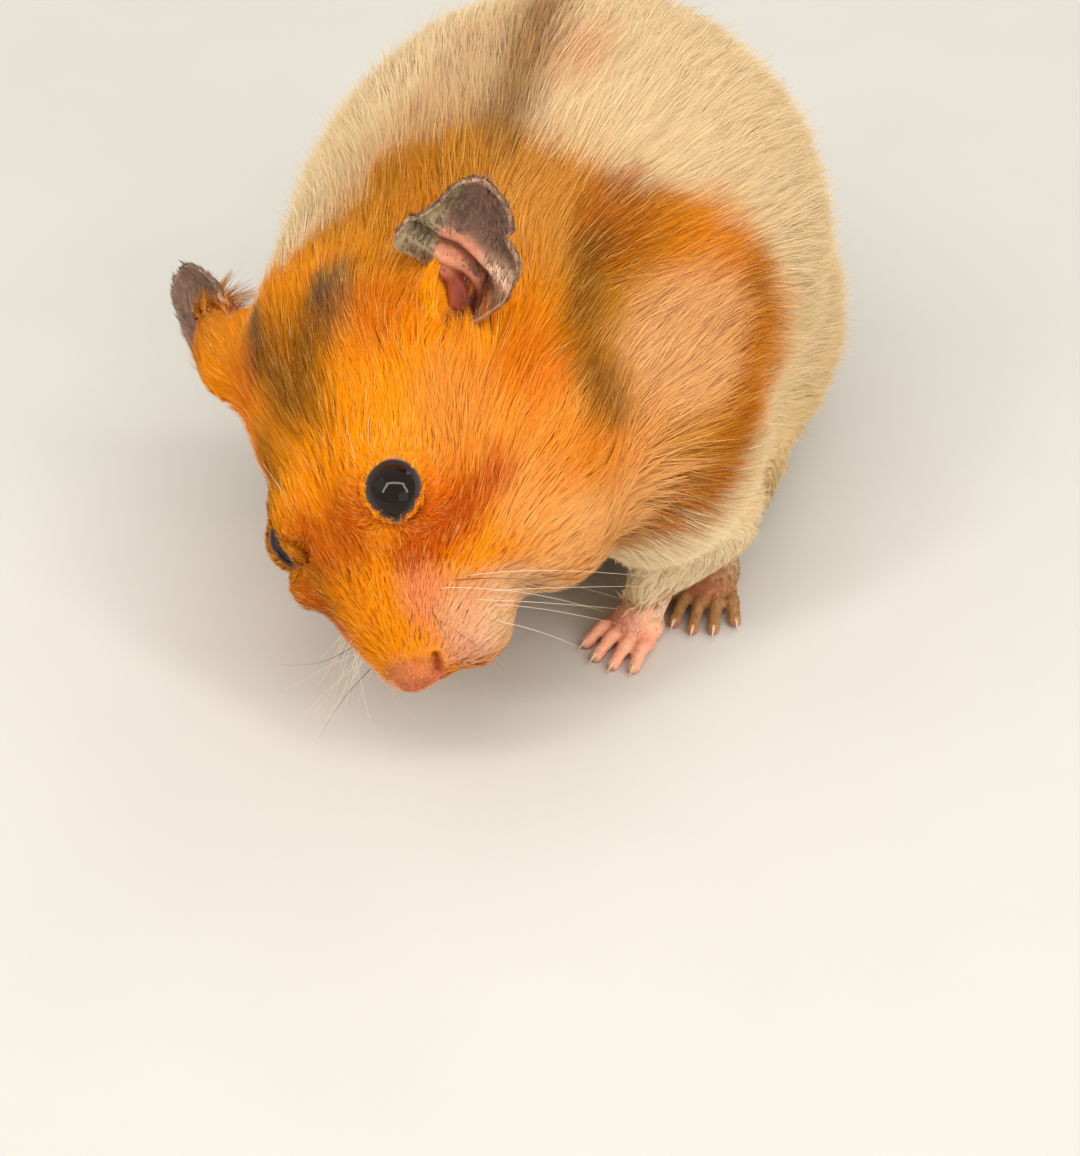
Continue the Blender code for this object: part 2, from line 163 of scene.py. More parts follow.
def ramp(values, start, end):
    """Rises smoothly from 0 at start to 1 at end."""
    share = np.clip((values - start) / (end - start), 0, 1)
    return share * share * (3 - 2 * share)


def fade(values, start, end):
    """Falls smoothly from 1 at start to 0 at end."""
    return 1 - ramp(values, start, end)


def bump(values, width):
    """1 at zero, dying away on both sides within about twice the width."""
    return np.exp(-((values / width) ** 2))


def mix(first, second, share):
    return first + (second - first) * share


def dot(first, second):
    return (first * second).sum(axis=1)


def length_of(rows):
    return np.sqrt(dot(rows, rows))


def unit(rows):
    return rows / np.maximum(length_of(rows), 1e-9)[:, None]


def square(arrows, normals):
    """Each direction with what points along its normal taken out."""
    return unit(arrows - normals * dot(arrows, normals)[:, None])


def swung(arrows, normals, degrees):
    """Each direction turned about its normal."""
    turn = np.radians(degrees)[:, None]
    return unit(arrows * np.cos(turn) + np.cross(normals, arrows) * np.sin(turn))


def ripple(spots, grain, seed):
    """Smooth noise of about that grain in millimetres, from about -1 to 1."""
    dice = np.random.default_rng(seed)
    waves = unit(dice.normal(size=(9, 3))) * dice.uniform(0.6, 1.5, (9, 1)) * 2 * math.pi / grain
    return np.sin(spots @ waves.T + dice.uniform(0, 6.3, 9)).mean(axis=1) * 1.8


def to_box(spots, node):
    """How far each place is outside a node's box, in millimetres."""
    low, high = (np.array(corner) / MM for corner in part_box(node))
    return length_of(np.maximum(np.maximum(low - spots, spots - high), 0))


def to_feet(spots, feet=FEET):
    return np.min([to_box(spots, node) for node in feet], axis=0)


def to_eyes(spots):
    return np.min([length_of(spots - np.array(eye_middle(side))) for side in SIDES], axis=0)


def to_nose(spots):
    return length_of(in_head(spots) - NOSE_PAD)


def ear_axes(side):
    """The ways up, across and out of one ear, in the head's frame before mirroring."""
    rise = Vector(EAR_RISES[side]).normalized()
    opens = Vector(EAR_OPENS[side])
    opens = (opens - rise * opens.dot(rise)).normalized()
    return np.array([rise, rise.cross(opens), opens])


def in_ear(spots, side):
    """Places as height, across and towards the opening, from the ear's root."""
    return (mirrored(in_head(spots), side) - EAR_ROOTS[side]) @ ear_axes(side).T


def to_ears(spots):
    return np.min([length_of(in_ear(spots, side)) for side in SIDES], axis=0)


def in_bowl(spots, side):
    """How far each place is from the axis of the ear's hollow, its height, and whether it is by the ear."""
    height, across, towards = in_ear(spots, side).T
    radius = np.hypot(across - BOWL_BACK, towards - BOWL_OUT)
    return radius, height, (towards > -2.4) & (towards < 4.2) & (height > -4)


def along_line(spots, line):
    """How far each place is from a line through some points."""
    nearest = np.full(len(spots), 1e9)
    for start, end in zip(np.array(line[:-1], float), np.array(line[1:], float)):
        step = end - start
        share = np.clip((spots - start) @ step / (step @ step), 0, 1)
        nearest = np.minimum(nearest, length_of(spots - start - share[:, None] * step))
    return nearest


def both_sides(place, line):
    """How far each place is from the line or from its mirror image."""
    other = [(x, -y, z) for x, y, z in line]
    return np.minimum(along_line(place, line), along_line(place, other))


def headness(spots):
    """1 on the head, 0 on the body."""
    place = in_head(spots)
    skull = ramp(place[:, 0], -46, -36) * fade(np.hypot(place[:, 1], place[:, 2] + 1), 19.5, 23)
    return np.maximum(skull, fade(to_ears(spots), 6, 9))


def muzzleness(spots):
    return headness(spots) * ramp(in_head(spots)[:, 0], -16, -7)


# ---------------------------------------------------------------- colours and markings


def linear(code):
    """A hex colour as linear numbers."""
    channels = [int(code[i : i + 2], 16) / 255 for i in (1, 3, 5)]
    return [c / 12.92 if c <= 0.04045 else ((c + 0.055) / 1.055) ** 2.4 for c in channels]


def tint(colours, code, share):
    """Draws each linear colour that share of the way to a hex colour."""
    return mix(colours, np.array(linear(code)), share[:, None])


CREAM, CREAM_LOW = "#e4c798", "#dcb878"
GOLD, ORANGE, DEEP_ORANGE = "#cc8420", "#fb9900", "#c44800"
# The golden cape ends at this y, by angle round the back: 0 is the spine, 90 the left flank.
CAPE_EDGE = (
    (-180, -24),
    (-110, -24),
    (-53, -19),
    (-48, -17.5),
    (-34, -13),
    (-24, -8.5),
    (-6, -4),
    (8, -4.8),
    (18, -5.3),
    (30, -3.8),
    (44, -1.5),
    (63, 0.4),
    (76, 0.8),
    (83, -2),
    (89, -12.5),
    (94, -14.5),
    (104, -19),
    (123, -20),
    (180, -24),
)
RUMP_EDGE = ((-180, 44), (-110, 42), (-60, 36), (0, 29), (60, 38), (110, 44), (180, 44))
# Patches of colour: which frame, centre, radii, colour, strength, softness of the edge. Those of the head
# are on both its sides.
PATCHES = (
    ("body", (4.5, 9, 55), (3.5, 7, 6), "#dca878", 0.8, 0.6),  # peach beside the streak along the spine
    ("body", (-6, 6, 53.5), (4, 9, 6), "#cda478", 0.8, 0.6),
    ("body", (-6, -12, 52), (12, 10, 8), "#c07a22", 0.6, 0.6),  # brown nape
    ("body", (9, -11, 50), (7, 8, 6), "#dc9440", 0.5, 0.6),  # golden behind the ear
    ("body", (15.5, -7.5, 47), (5, 4.5, 5), "#b45c00", 0.8, 0.5),  # brown saddle over the shoulder
    ("body", (25, -3.5, 40), (8, 6, 8), "#f08c04", 0.9, 0.5),  # orange collar
    ("body", (29.7, -6, 32), (5, 10, 5), "#e68804", 0.85, 0.5),  # its lower lobe
    ("body", (24, -11, 37), (6.5, 9, 7), "#eeb070", 0.95, 0.35),  # peach shoulder
    ("body", (23, -22, 26), (6.5, 6, 6.5), "#ffcd92", 0.9, 0.6),
    # The arm's white, painted brighter than its own to lift it out of the head's shadow: painted light.
    ("body", (25, -15, 11), (9, 10, 11), "#fbe0b6", 0.95, 0.5),  # white arm
    ("head", (-18.5, 19, -9), (9, 8, 10), "#f2a34c", 0.9, 0.6),  # peach cheek
    ("head", (-13, 14.5, -11), (8, 8, 9), "#f6b468", 0.9, 0.5),
    ("head", (-19.6, 18.3, -3), (4, 4, 4), "#ef8c14", 0.7, 0.7),
    ("head", (-21, 19.7, -8), (4.5, 4, 3.6), "#ea8604", 0.75, 0.6),  # orange between cheek and shoulder
    ("head", (-29, 18, -0.6), (5, 4, 4), "#de6a00", 0.6, 0.6),  # and below the ear
    ("head", (-14.5, 15.8, -1), (5, 3.5, 4), "#f8a44a", 0.8, 0.5),
    ("head", (-14.5, 11.0, 4.6), (6, 3.2, 3.4), "#e46c00", 0.8, 0.6),  # orange below the eye
    ("head", (-35.2, 6.4, 14.4), (3.8, 2.9, 3.6), "#58493e", 1.0, 0.45),  # grey patch on the crown
    ("head", (-30, -1.5, 15.4), (7, 3.6, 5), "#80490c", 0.68, 0.6),  # brown along the crown
    ("head", (-36, 10, 12), (4, 4, 6), "#c9801c", 0.6, 0.7),
    ("head", (-32.5, 10, 12.3), (4, 4, 5), "#d86a00", 0.7, 0.6),  # deep orange between the ears
    ("head", (-43, 17.5, 12), (6, 6, 6), "#cf7a18", 0.95, 0.4),  # golden behind the ears
    ("head", (-23.2, 14.3, 6), (5.8, 4, 5), "#ee9638", 0.8, 0.6),  # peach brow
    ("head", (-13.5, 3.4, 10.4), (5, 2, 2.5), "#c04c00", 0.5, 0.6),
    ("head", (-12.6, 1.2, 10.6), (4, 3.4, 4), "#cc5400", 0.75, 0.6),  # beside the nose bridge
    ("head", (-6.8, 6.4, 4.2), (3.4, 2.4, 2.8), "#f2935c", 0.9, 0.5),  # pink whisker pad
    ("head", (-5.2, 8.0, -1), (4.4, 3.6, 3.8), "#f4b482", 0.95, 0.5),  # cream lip
    ("head", (-2.8, 6.2, -2.6), (2.6, 2.8, 2.6), "#eeb088", 0.9, 0.5),
    ("head", (-8, 8.4, -6), (6, 5, 4), "#f0c494", 0.9, 0.5),
    ("head", (-1.0, 0, -0.2), (2.6, 3.1, 3.0), "#cc7448", 0.9, 0.4),  # short pink hair on the nose
    ("head", (-14, 0, -14), (13, 11, 6.5), "#f0d8b0", 0.95, 0.6),  # white throat
)
# Along the far brow: partly its brown, partly painted shade on the side turned from the light.
FAR_BROW = ((-24, -7.6, 12.6), (-20, -7.6, 11.6), (-15, -8.2, 8.6), (-10, -7, 6.6))
BELOW_EYE = ((-10, 6.8, 6.8), (-13, 11.1, 3.6), (-17.8, 14.9, 1.8))
OVER_CROWN = ((-33, 5.0, 15.2), (-29.5, 1.5, 15.8), (-25.5, 0.3, 15))
BEHIND_EAR = ((14.2, -11, 46.6), (15, -13.5, 44.6), (15, -15.7, 42), (16, -16.7, 38.5), (18.6, -19, 34.6))
ALONG_SPINE = ((2, -5, 53.5), (0.7, 4.3, 54.5), (-1.3, 14.2, 54.5), (-2, 20, 53))
COLLAR_STRIPE = (
    (26, 1, 39),
    (29.7, -1, 34),
    (30, -8, 31.5),
    (30, -14.5, 26),
    (28, -18.9, 21.2),
    (23.6, -21.6, 17.9),
    (18.5, -24.5, 16.5),
)
# Streaks of colour: which frame, a line, its half width, colour and strength. "face" is the head's frame
# without its mirror image.
STREAKS = (
    # The two face streaks darken only the head's far side: partly its brown, partly painted shade.
    ("face", FAR_BROW, 3.9, "#a86406", 0.85),
    ("face", ((-10, -6, 5), (-7, -4.5, 2.5)), 2.2, "#b87410", 0.6),
    ("head", BELOW_EYE, 2.1, DEEP_ORANGE, 0.85),
    ("head", OVER_CROWN, 1.8, "#8a5212", 0.75),
    ("body", BEHIND_EAR, 2.6, "#74430f", 0.8),
    ("body", ALONG_SPINE, 3.2, "#9c6c38", 0.85),
    ("body", COLLAR_STRIPE, 2.2, "#be6a00", 0.95),  # between the peach shoulder and the white arm
)
STREAK_EDGE = 2.8  # the higher, the harder the edge of a streak


def around_back(spots):
    """Angle round the trunk's long axis, and the place along it."""
    return np.degrees(np.arctan2(spots[:, 0] - BACK_LINE[0], spots[:, 2] - BACK_LINE[1])), spots[:, 1]


def ground_colours(spots, wander):
    """Cream on the body, gold on the cape and the rump, orange on the head."""
    angle, along = around_back(spots)
    height = spots[:, 2]
    colour = np.tile(linear(CREAM), (len(spots), 1))
    colour = tint(colour, CREAM_LOW, 0.6 * fade(height, 8, 26))
    colour = tint(colour, GOLD, ramp(along - np.interp(angle, *zip(*RUMP_EDGE)) + 2 * wander, -1.5, 1.5))
    cape = ramp(np.interp(angle, *zip(*CAPE_EDGE)) - along + wander, -0.8, 0.8)
    colour = tint(colour, GOLD, cape * ramp(height, 15, 20))
    return tint(colour, ORANGE, headness(spots))


def markings(spots):
    """Linear colour of the coat at each place."""
    wander = 1.2 * ripple(spots, 7, 11)
    colour = ground_colours(spots, wander)
    place = in_head(spots)
    for where, centre, radii, code, strength, soft in PATCHES:
        centre = np.array(centre, float)
        away = length_of(((place if where == "head" else spots) - centre) / radii)
        if where == "head":
            away = np.minimum(away, length_of((place - mirrored(centre, -1)) / radii))
        colour = tint(colour, code, strength * fade(away + 0.12 * wander, 1 - soft, 1 + soft))
    for where, line, width, code, strength in STREAKS:
        if where == "head":
            away = both_sides(place, line)
        else:
            away = along_line(place if where == "face" else spots, line)
        away = np.abs((away + 0.3 * wander) / width)
        colour = tint(colour, code, strength * np.exp(-(away**STREAK_EDGE)))
    return colour


# ---------------------------------------------------------------- how the coat grows


def blend(value, regions):
    """Draws a value towards each region's own in turn, as far as the region's share says."""
    for own, share in regions:
        value = mix(value, own, share)
    return value


def coat_depth(spots):
    """Thickness of the lying coat over the skin, in millimetres."""
    regions = (
        (1.6, headness(spots)),
        (0.6, muzzleness(spots)),
        (0.5, fade(to_eyes(spots), 4.0, 9.0)),
        (0.8, fade(to_ears(spots), 5, 9)),
        (0.5, fade(to_feet(spots), 3, 20)),
        (0.14, fade(to_nose(spots), 2.2, 4.5)),
        (0.3, fade(to_box(spots, "tail"), 0, 2.5)),
    )
    return blend(2.7, regions)


def hair_length(spots):
    """Length of the hair, in millimetres."""
    ahead, aside, _ = in_head(spots).T
    regions = (
        (4.4, headness(spots)),
        (6.5, headness(spots) * ramp(np.abs(aside), 9, 15) * ramp(-ahead, 12, 22)),
        (1.7, muzzleness(spots)),
        (0.55, fade(to_nose(spots), 2.0, 5.0)),
        (3.8, fade(to_ears(spots), 4, 8)),
        (0.8, fade(to_eyes(spots), 3.4, 7.5)),
        (2.2, fade(to_feet(spots), 3, 24)),
        (1.4, fade(to_box(spots, "tail"), 0, 2.5)),
    )
    return blend(9.0, regions)


def lie_of_coat(spots, normals):
    """The way the hair points at each place, along the skin."""
    outwards = np.sign(spots[:, 0] - BACK_LINE[0])
    backwards = unit(np.stack([0.05 * outwards, np.ones(len(spots)), np.full(len(spots), -0.4)], axis=1))
    share = headness(spots) * 0.9 + 0.1 * ramp(in_head(spots)[:, 0], -50, -30)
    flow = mix(backwards, unit(spots - NOSE_TIP), share[:, None])
    for side in SIDES:
        close = 0.8 * fade(length_of(in_ear(spots, side)), 4, 9)
        flow = mix(flow, directed(mirrored(EAR_RISES[side], side)), close[:, None])
    for side in SIDES:
        away = spots - np.array(eye_middle(side))
        close = fade(length_of(away), EYE_RADIUS, 7)
        away = unit(away)
        inward = np.minimum(dot(flow, away), 0)
        flow = flow + away * ((0.8 - inward) * close)[:, None]
    to_paw = fade(to_feet(spots), 3, 14)
    flow = mix(flow, np.array((-0.2, -0.8, -0.55)), to_paw[:, None])
    return swung(square(flow, normals), normals, 14 * ripple(spots, 11, 5) + 6 * ripple(spots, 4, 6))


# ---------------------------------------------------------------- mesh helpers


def link(name, mesh):
    """A new object in the scene that shows the mesh."""
    made = bpy.data.objects.new(name, mesh)
    bpy.context.scene.collection.objects.link(made)
    return made


def to_object(name, shape):
    mesh = bpy.data.meshes.new(name)
    shape.to_mesh(mesh)
    shape.free()
    return link(name, mesh)


def settle(obj):
    """Turns the object's modifiers into its mesh."""
    bpy.context.view_layer.update()
    evaluated = obj.evaluated_get(bpy.context.evaluated_depsgraph_get())
    mesh = bpy.data.meshes.new_from_object(evaluated)
    obj.modifiers.clear()
    old, obj.data = obj.data, mesh
    bpy.data.meshes.remove(old)
    mesh.name = obj.name


def select(*objects):
    """Selects the objects and makes the last one active."""
    bpy.ops.object.select_all(action="DESELECT")
    for obj in objects:
        obj.select_set(True)
    bpy.context.view_layer.objects.active = objects[-1]


def join(main, others):
    """Adds the other objects' meshes to the main one's."""
    select(*others, main)
    bpy.ops.object.join()


def rows_of(items, key, width, kind=float):
    """One property of all of a mesh's items, as rows."""
    values = np.empty(len(items) * width, kind)
    items.foreach_get(key, values)
    return values.reshape(-1, width)


def vertices_of(obj):
    """Vertex places in millimetres and normals."""
    vertices = obj.data.vertices
    return rows_of(vertices, "co", 3) / MM, rows_of(vertices, "normal", 3)


def move_vertices(obj, spots):
    obj.data.vertices.foreach_set("co", (spots * MM).ravel())
    obj.data.update()


def raise_to(obj, spots, lowest):
    """Moves the vertices to their places, none of them lower than the lowest."""
    spots[:, 2] = np.maximum(spots[:, 2], lowest)
    move_vertices(obj, spots)


def round_off(obj, share, rounds):
    """Smooths the mesh, as far as each vertex's share says."""
    group = obj.vertex_groups.new(name="rounding")
    for step in range(11):
        chosen = np.nonzero(np.round(share * 10) == step)[0].tolist()
        group.add(chosen, step / 10, "REPLACE")
    smooth = obj.modifiers.new("rounding", "SMOOTH")
    smooth.factor, smooth.iterations, smooth.vertex_group = 0.5, rounds, group.name
    settle(obj)
    obj.vertex_groups.clear()


def add_one_skin(obj, cube):
    """Adds a remesh into cubes of that size, which makes overlapping pieces one skin."""
    remesh = obj.modifiers.new("one_skin", "REMESH")
    remesh.mode, remesh.voxel_size = "VOXEL", cube * MM


def ball(shape, centre, radii, place=None, detail=3):
    at = (place or Matrix.Identity(4)) @ Matrix.Translation(centre) @ Matrix.Diagonal((*radii, 1))
    bmesh.ops.create_icosphere(shape, subdivisions=detail, radius=1.0, matrix=Matrix.Scale(MM, 4) @ at)


def place_vertices(shape, spots):
    """Puts the shape's vertices at places in millimetres, all its faces outward."""
    for vertex, spot in zip(shape.verts, spots):
        vertex.co = vec(spot)
    bmesh.ops.recalc_face_normals(shape, faces=shape.faces[:])


MARKINGS = "markings"  # the mesh attribute that holds the colours


def paint(obj, colours):
    """Stores one linear colour for each vertex."""
    layer = obj.data.color_attributes.new(MARKINGS, "FLOAT_COLOR", "POINT")
    layer.data.foreach_set("color", np.c_[colours, np.ones(len(colours))].ravel())


def finish_piece(obj, finish):
    """Gives a finished piece its material and its place in the frame."""
    obj.data.shade_smooth()
    obj.data.materials.append(finish)
    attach(obj, "root")


# ---------------------------------------------------------------- materials

# Grains to the metre: pores and horn layers 0.4 mm wide, iris flecks 1.1 mm, patches in the board 25 mm.
PORES, HORN_LAYERS, IRIS_FLECKS, BOARD_PATCHES = 2600.0, 2500.0, 900.0, 40.0


def add_node(tree, kind, links=None, **settings):
    """Adds a node, sets its sockets and properties, and links its inputs."""
    node = tree.nodes.new(kind)
    for key, value in settings.items():
        socket = key.replace("_", " ")
        if socket in node.inputs:
            node.inputs[socket].default_value = value
        else:
            setattr(node, key, value)
    for key, socket in (links or {}).items():
        tree.links.new(socket, node.inputs[key])
    return node


def material(name, roughness, **sockets):
    """A named finish with its shader's constant sockets set."""
    made = bpy.data.materials.new(name)
    made.use_nodes = True
    shader = made.node_tree.nodes["Principled BSDF"]
    shader.inputs["Roughness"].default_value = roughness
    for key, value in sockets.items():
        shader.inputs[key.replace("_", " ")].default_value = value
    return made, made.node_tree, shader


def fur_finish():
    """Keratin hair: a soft broken gloss over the colour that the coat carries."""
    made, tree, shader = material("keratin_fur", 0.6, IOR=1.55, Specular_IOR_Level=0.06)
    colour = add_node(tree, "ShaderNodeAttribute", attribute_name=MARKINGS)
    tree.links.new(colour.outputs["Color"], shader.inputs["Base Color"])
    return made


def skin_finish():
    """Skin under the coat and bare at nose, lids and paws: fine pores and creases, slightly moist."""
    under = {"Subsurface_Weight": 0.12, "Subsurface_Radius": (0.9, 0.35, 0.2), "Subsurface_Scale": MM}
    made, tree, shader = material("living_skin", 0.55, IOR=1.4, **under)
    colour = add_node(tree, "ShaderNodeAttribute", attribute_name=MARKINGS)
    spots = add_node(tree, "ShaderNodeTexCoord")
    pores = add_node(tree, "ShaderNodeTexNoise", {"Vector": spots.outputs["Object"]}, Scale=PORES, Detail=3.0)
    tones = {"From_Min": 0.3, "From_Max": 0.7, "To_Min": 0.86, "To_Max": 1.12}
    grain = add_node(tree, "ShaderNodeMapRange", {"Value": pores.outputs["Fac"]}, **tones)
    tinted = add_node(tree, "ShaderNodeVectorMath", {0: colour.outputs["Color"]}, operation="SCALE")
    tree.links.new(grain.outputs["Result"], tinted.inputs["Scale"])
    tree.links.new(tinted.outputs["Vector"], shader.inputs["Base Color"])
    height = {"Height": pores.outputs["Fac"]}
    relief = add_node(tree, "ShaderNodeBump", height, Strength=0.35, Distance=0.08 * MM)
    tree.links.new(relief.outputs["Normal"], shader.inputs["Normal"])
    return made


def mottled(name, roughness, grains, dark, pale, **sockets):
    """A finish whose colour wavers between two, in so many grains to the metre."""
    made, tree, shader = material(name, roughness, **sockets)
    spots = add_node(tree, "ShaderNodeTexCoord")
    noise = add_node(tree, "ShaderNodeTexNoise", {"Vector": spots.outputs["Object"]}, Scale=grains)
    tone = add_node(tree, "ShaderNodeValToRGB", {"Fac": noise.outputs["Fac"]})
    tone.color_ramp.elements[0].color = (*linear(dark), 1)
    tone.color_ramp.elements[1].color = (*linear(pale), 1)
    tree.links.new(tone.outputs["Color"], shader.inputs["Base Color"])
    return made


def eye_finish():
    """Wet cornea over a nearly black iris."""
    return mottled("wet_dark_eye", 0.03, IRIS_FLECKS, "#0d0705", "#22130c", IOR=1.34)


def claw_finish():
    """Smooth horn in pale and darker layers."""
    return mottled("claw_horn", 0.3, HORN_LAYERS, "#c99b78", "#f0d8bc", IOR=1.54)


def floor_finish():
    """Matt pale board."""
    return mottled("pale_board", 0.85, BOARD_PATCHES, "#cfcbc3", "#d5d2ca")


# ---------------------------------------------------------------- skin

SKIN_CUBE, PAW_CUBE = 0.45, 0.27  # cubes that the skins are made from
SWELL, WRIST_SLIMMER = 0.3, 0.8  # outwards before the skin is made, and inwards at the wrists after
SINK_STEPS = 4  # the skin sinks below the coat in so many steps
SKIN_LOWEST = 0.25
BODY_FACES_KEPT = 0.34  # share of the skin's faces left after the thinning out
# Flesh bunched below and above the half-shut eye: centre and radii, in the head's frame.
SQUINT = (((-12.7, -7.8, 6.4), (4.5, 2.35, 2.4)), ((-18.8, -5.2, 10.4), (5.5, 3.0, 3.3)))


def body_skin():
    """The flesh nodes as one skin, set inside them by the coat's depth, with its face worked out."""
    skin = joined_flesh()
    sink_below_coat(skin)
    thin_out(skin)
    refine(skin, from_head((-3, 0, -2)), 8)
    refine(skin, from_head((-2, 0, -1.5)), 4.5)
    for side in SIDES:
        refine(skin, eye_middle(side), 4.5)
        refine(skin, from_head(mirrored(EAR_ROOTS[side], side)), 6)
    sculpt_muzzle(skin)
    open_eyes(skin)
    hollow_ears(skin)
    return skin


def joined_flesh():
    """The flesh nodes, the eyeballs and the bunched flesh, a little swollen, as one skin."""
    shape = bmesh.new()
    for node in FLESH:
        shape.from_mesh(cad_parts[node].data)
    bmesh.ops.remove_doubles(shape, verts=shape.verts[:], dist=1e-7)
    for side in SIDES:
        ball(shape, eye_middle(side), (EYE_RADIUS,) * 3)
    for centre, radii in SQUINT:
        ball(shape, centre, radii, HEAD)
    skin = to_object("skin", shape)
    grow = skin.modifiers.new("grow", "DISPLACE")
    grow.strength, grow.mid_level = SWELL * MM, 0.0
    add_one_skin(skin, SKIN_CUBE)
    settle(skin)
    return skin


def sink_below_coat(skin):
    """Moves the skin inwards by the depth of the coat that will lie over it, and smooths it."""
    spots, _ = vertices_of(skin)
    round_off(skin, ramp(coat_depth(spots), 0.4, 1.5), 12)
    spots, _ = vertices_of(skin)
    depth = coat_depth(spots) + SWELL + WRIST_SLIMMER * fade(to_feet(spots, FOREPAWS), 1, 6)
    for _ in range(SINK_STEPS):
        spots, normals = vertices_of(skin)
        move_vertices(skin, spots - normals * (depth / SINK_STEPS)[:, None])
    round_off(skin, ramp(depth, 0.8, 2.5), 6)
    spots, _ = vertices_of(skin)
    to_squint = np.min([length_of(in_head(spots) - centre) for centre, _ in SQUINT], axis=0)
    round_off(skin, fade(to_squint, 4, 8), 16)
    raise_to(skin, vertices_of(skin)[0], SKIN_LOWEST)


def thin_out(skin):
    """Fewer, larger faces over the body, where the long coat hides them."""
    spots, _ = vertices_of(skin)
    group = skin.vertex_groups.new(name="under_long_coat")
    hidden = np.nonzero((headness(spots) == 0) & (to_feet(spots) > 2))[0]
    group.add(hidden.tolist(), 1.0, "REPLACE")
    fewer = skin.modifiers.new("fewer_faces", "DECIMATE")
    fewer.vertex_group, fewer.ratio = group.name, BODY_FACES_KEPT
    settle(skin)


def refine(obj, centre, reach):
    """Splits the edges near a place in two."""
    shape = bmesh.new()
    shape.from_mesh(obj.data)
    spot = vec(centre)
    close = [edge for edge in shape.edges if (edge.verts[0].co - spot).length < reach * MM]
    bmesh.ops.subdivide_edges(shape, edges=close, cuts=1, use_grid_fill=True)
    bmesh.ops.triangulate(shape, faces=[face for face in shape.faces if len(face.verts) > 4])
    shape.to_mesh(obj.data)
    shape.free()


def eye_frame(side):
    """The eye's middle, its axis, the way to its front corner and the way across."""
    axis = unit(directed(mirrored(EYE_AXES[side], side))[None])[0]
    front = directed((1, 0, 0))
    front = unit((front - axis * (front @ axis))[None])[0]
    return np.array(eye_middle(side)), axis, front, np.cross(axis, front)


def opening(turn, side):
    """Half angle of the opening between the lids, by the turn from its front corner."""
    along, across = EYE_OPENINGS[side]
    almond = 1 / np.hypot(np.cos(turn) / along, np.sin(turn) / across)
    return almond + FRONT_CORNER * bump(turn, 0.42) + BACK_CORNER * bump(np.abs(turn) - math.pi, 0.5)


def around_eye(spots, side):
    """Distance from the eye's middle, and degrees from the edge of its opening."""
    centre, axis, front, across = eye_frame(side)
    away = spots - centre
    distance = np.maximum(length_of(away), 1e-6)
    turn = np.arctan2(away @ across, away @ front)
    return distance, np.degrees(np.arccos(np.clip(away @ axis / distance, -1, 1))) - opening(turn, side)


def open_eyes(skin):
    """Draws the skin over the eyeballs up to the lids, and clears it from the openings."""
    inside, outside = 2.3, 3.2  # how far from the eye's middle the skin lies in the opening and around it
    spots, _ = vertices_of(skin)
    for side in SIDES:
        centre = np.array(eye_middle(side))
        distance, beyond = around_eye(spots, side)
        over = ramp(beyond, 2, 8) * fade(beyond, 50, 75)
        lifted = np.maximum(distance, mix(distance, outside, over))
        wanted = np.where(beyond < 4, np.minimum(distance, inside), lifted)
        wanted = np.where(distance < 5, wanted, distance)
        spots = centre + (spots - centre) * (wanted / distance)[:, None]
    move_vertices(skin, spots)


def hollow_ears(skin):
    """Sinks a bowl into the fur-clad mound in front of each ear's leaf."""
    spots, _ = vertices_of(skin)
    for side in SIDES:
        radius, height, within = in_bowl(spots, side)
        steepness, reach, _ = EAR_BOWLS[side]
        drop = np.maximum(height + BOWL_DEPTH - steepness * radius**2, 0) * ((radius < reach) & within)
        spots -= directed(mirrored(ear_axes(side)[0], side)) * drop[:, None]
    move_vertices(skin, spots)


def sculpt_muzzle(skin):
    """Rounds the pad of the nose, and sinks the nostrils, the cleft of the lip and the mouth."""
    spots, normals = vertices_of(skin)
    place = in_head(spots)
    pad = length_of((place - (-1.2, 0, -0.2)) / (2.0, 2.4, 1.9))
    to_nostril = both_sides(place, NOSTRIL)
    lift = 0.25 * bump(pad, 0.8) - 0.18 * bump(pad - 1.15, 0.18)  # the pad and the groove round it
    lift -= 0.85 * bump(to_nostril, 0.42)
    lift += 0.22 * bump(to_nostril - 0.85, 0.35)  # the raised rims of the nostrils
    lift -= 0.55 * bump(along_line(place, LIP_CLEFT), 0.32)
    lift -= 0.9 * bump(both_sides(place, MOUTH), 0.5)
    move_vertices(skin, spots + normals * lift[:, None])


def skin_colours(spots):
    """Linear colour of the skin: the coat's markings, pink where it is bare, and painted shade in the
    nostrils, along the mouth and deep in the hollow before the left ear.
    """
    place = in_head(spots)
    to_mouth = both_sides(place, MOUTH)
    nose = length_of((place - (-1.0, 0, -0.6)) / (2.4, 2.9, 2.4))
    colour = tint(markings(spots) * 0.92, "#cc6d4a", fade(nose, 0.7, 1.15))
    red = bump(to_mouth, 0.9) + bump(along_line(place, LIP_CLEFT), 0.6)
    colour = tint(colour, "#b8583f", 0.85 * np.clip(red, 0, 1))
    # Painted shade inside the sunk nostrils and in the crease of the mouth.
    dark = bump(both_sides(place, NOSTRIL), 0.4) + bump(to_mouth, 0.35)
    colour = tint(colour, "#4a1a12", 0.9 * np.clip(dark, 0, 1))
    radius, _, within = in_bowl(spots, 1)
    rim = EAR_BOWLS[1][2] - 0.4
    cup = fade(radius, rim - 1, rim) * within
    colour = tint(colour, "#bf5a3e", cup)
    # Painted shade, darker towards the deep middle of the hollow.
    colour = tint(colour, "#45170e", cup * fade(radius, 1.6, 3.6))
    for side in SIDES:
        distance, beyond = around_eye(spots, side)
        colour = tint(colour, "#8a6058", fade(beyond, 4, 14) * (distance < 4))
    return colour


# ---------------------------------------------------------------- coat

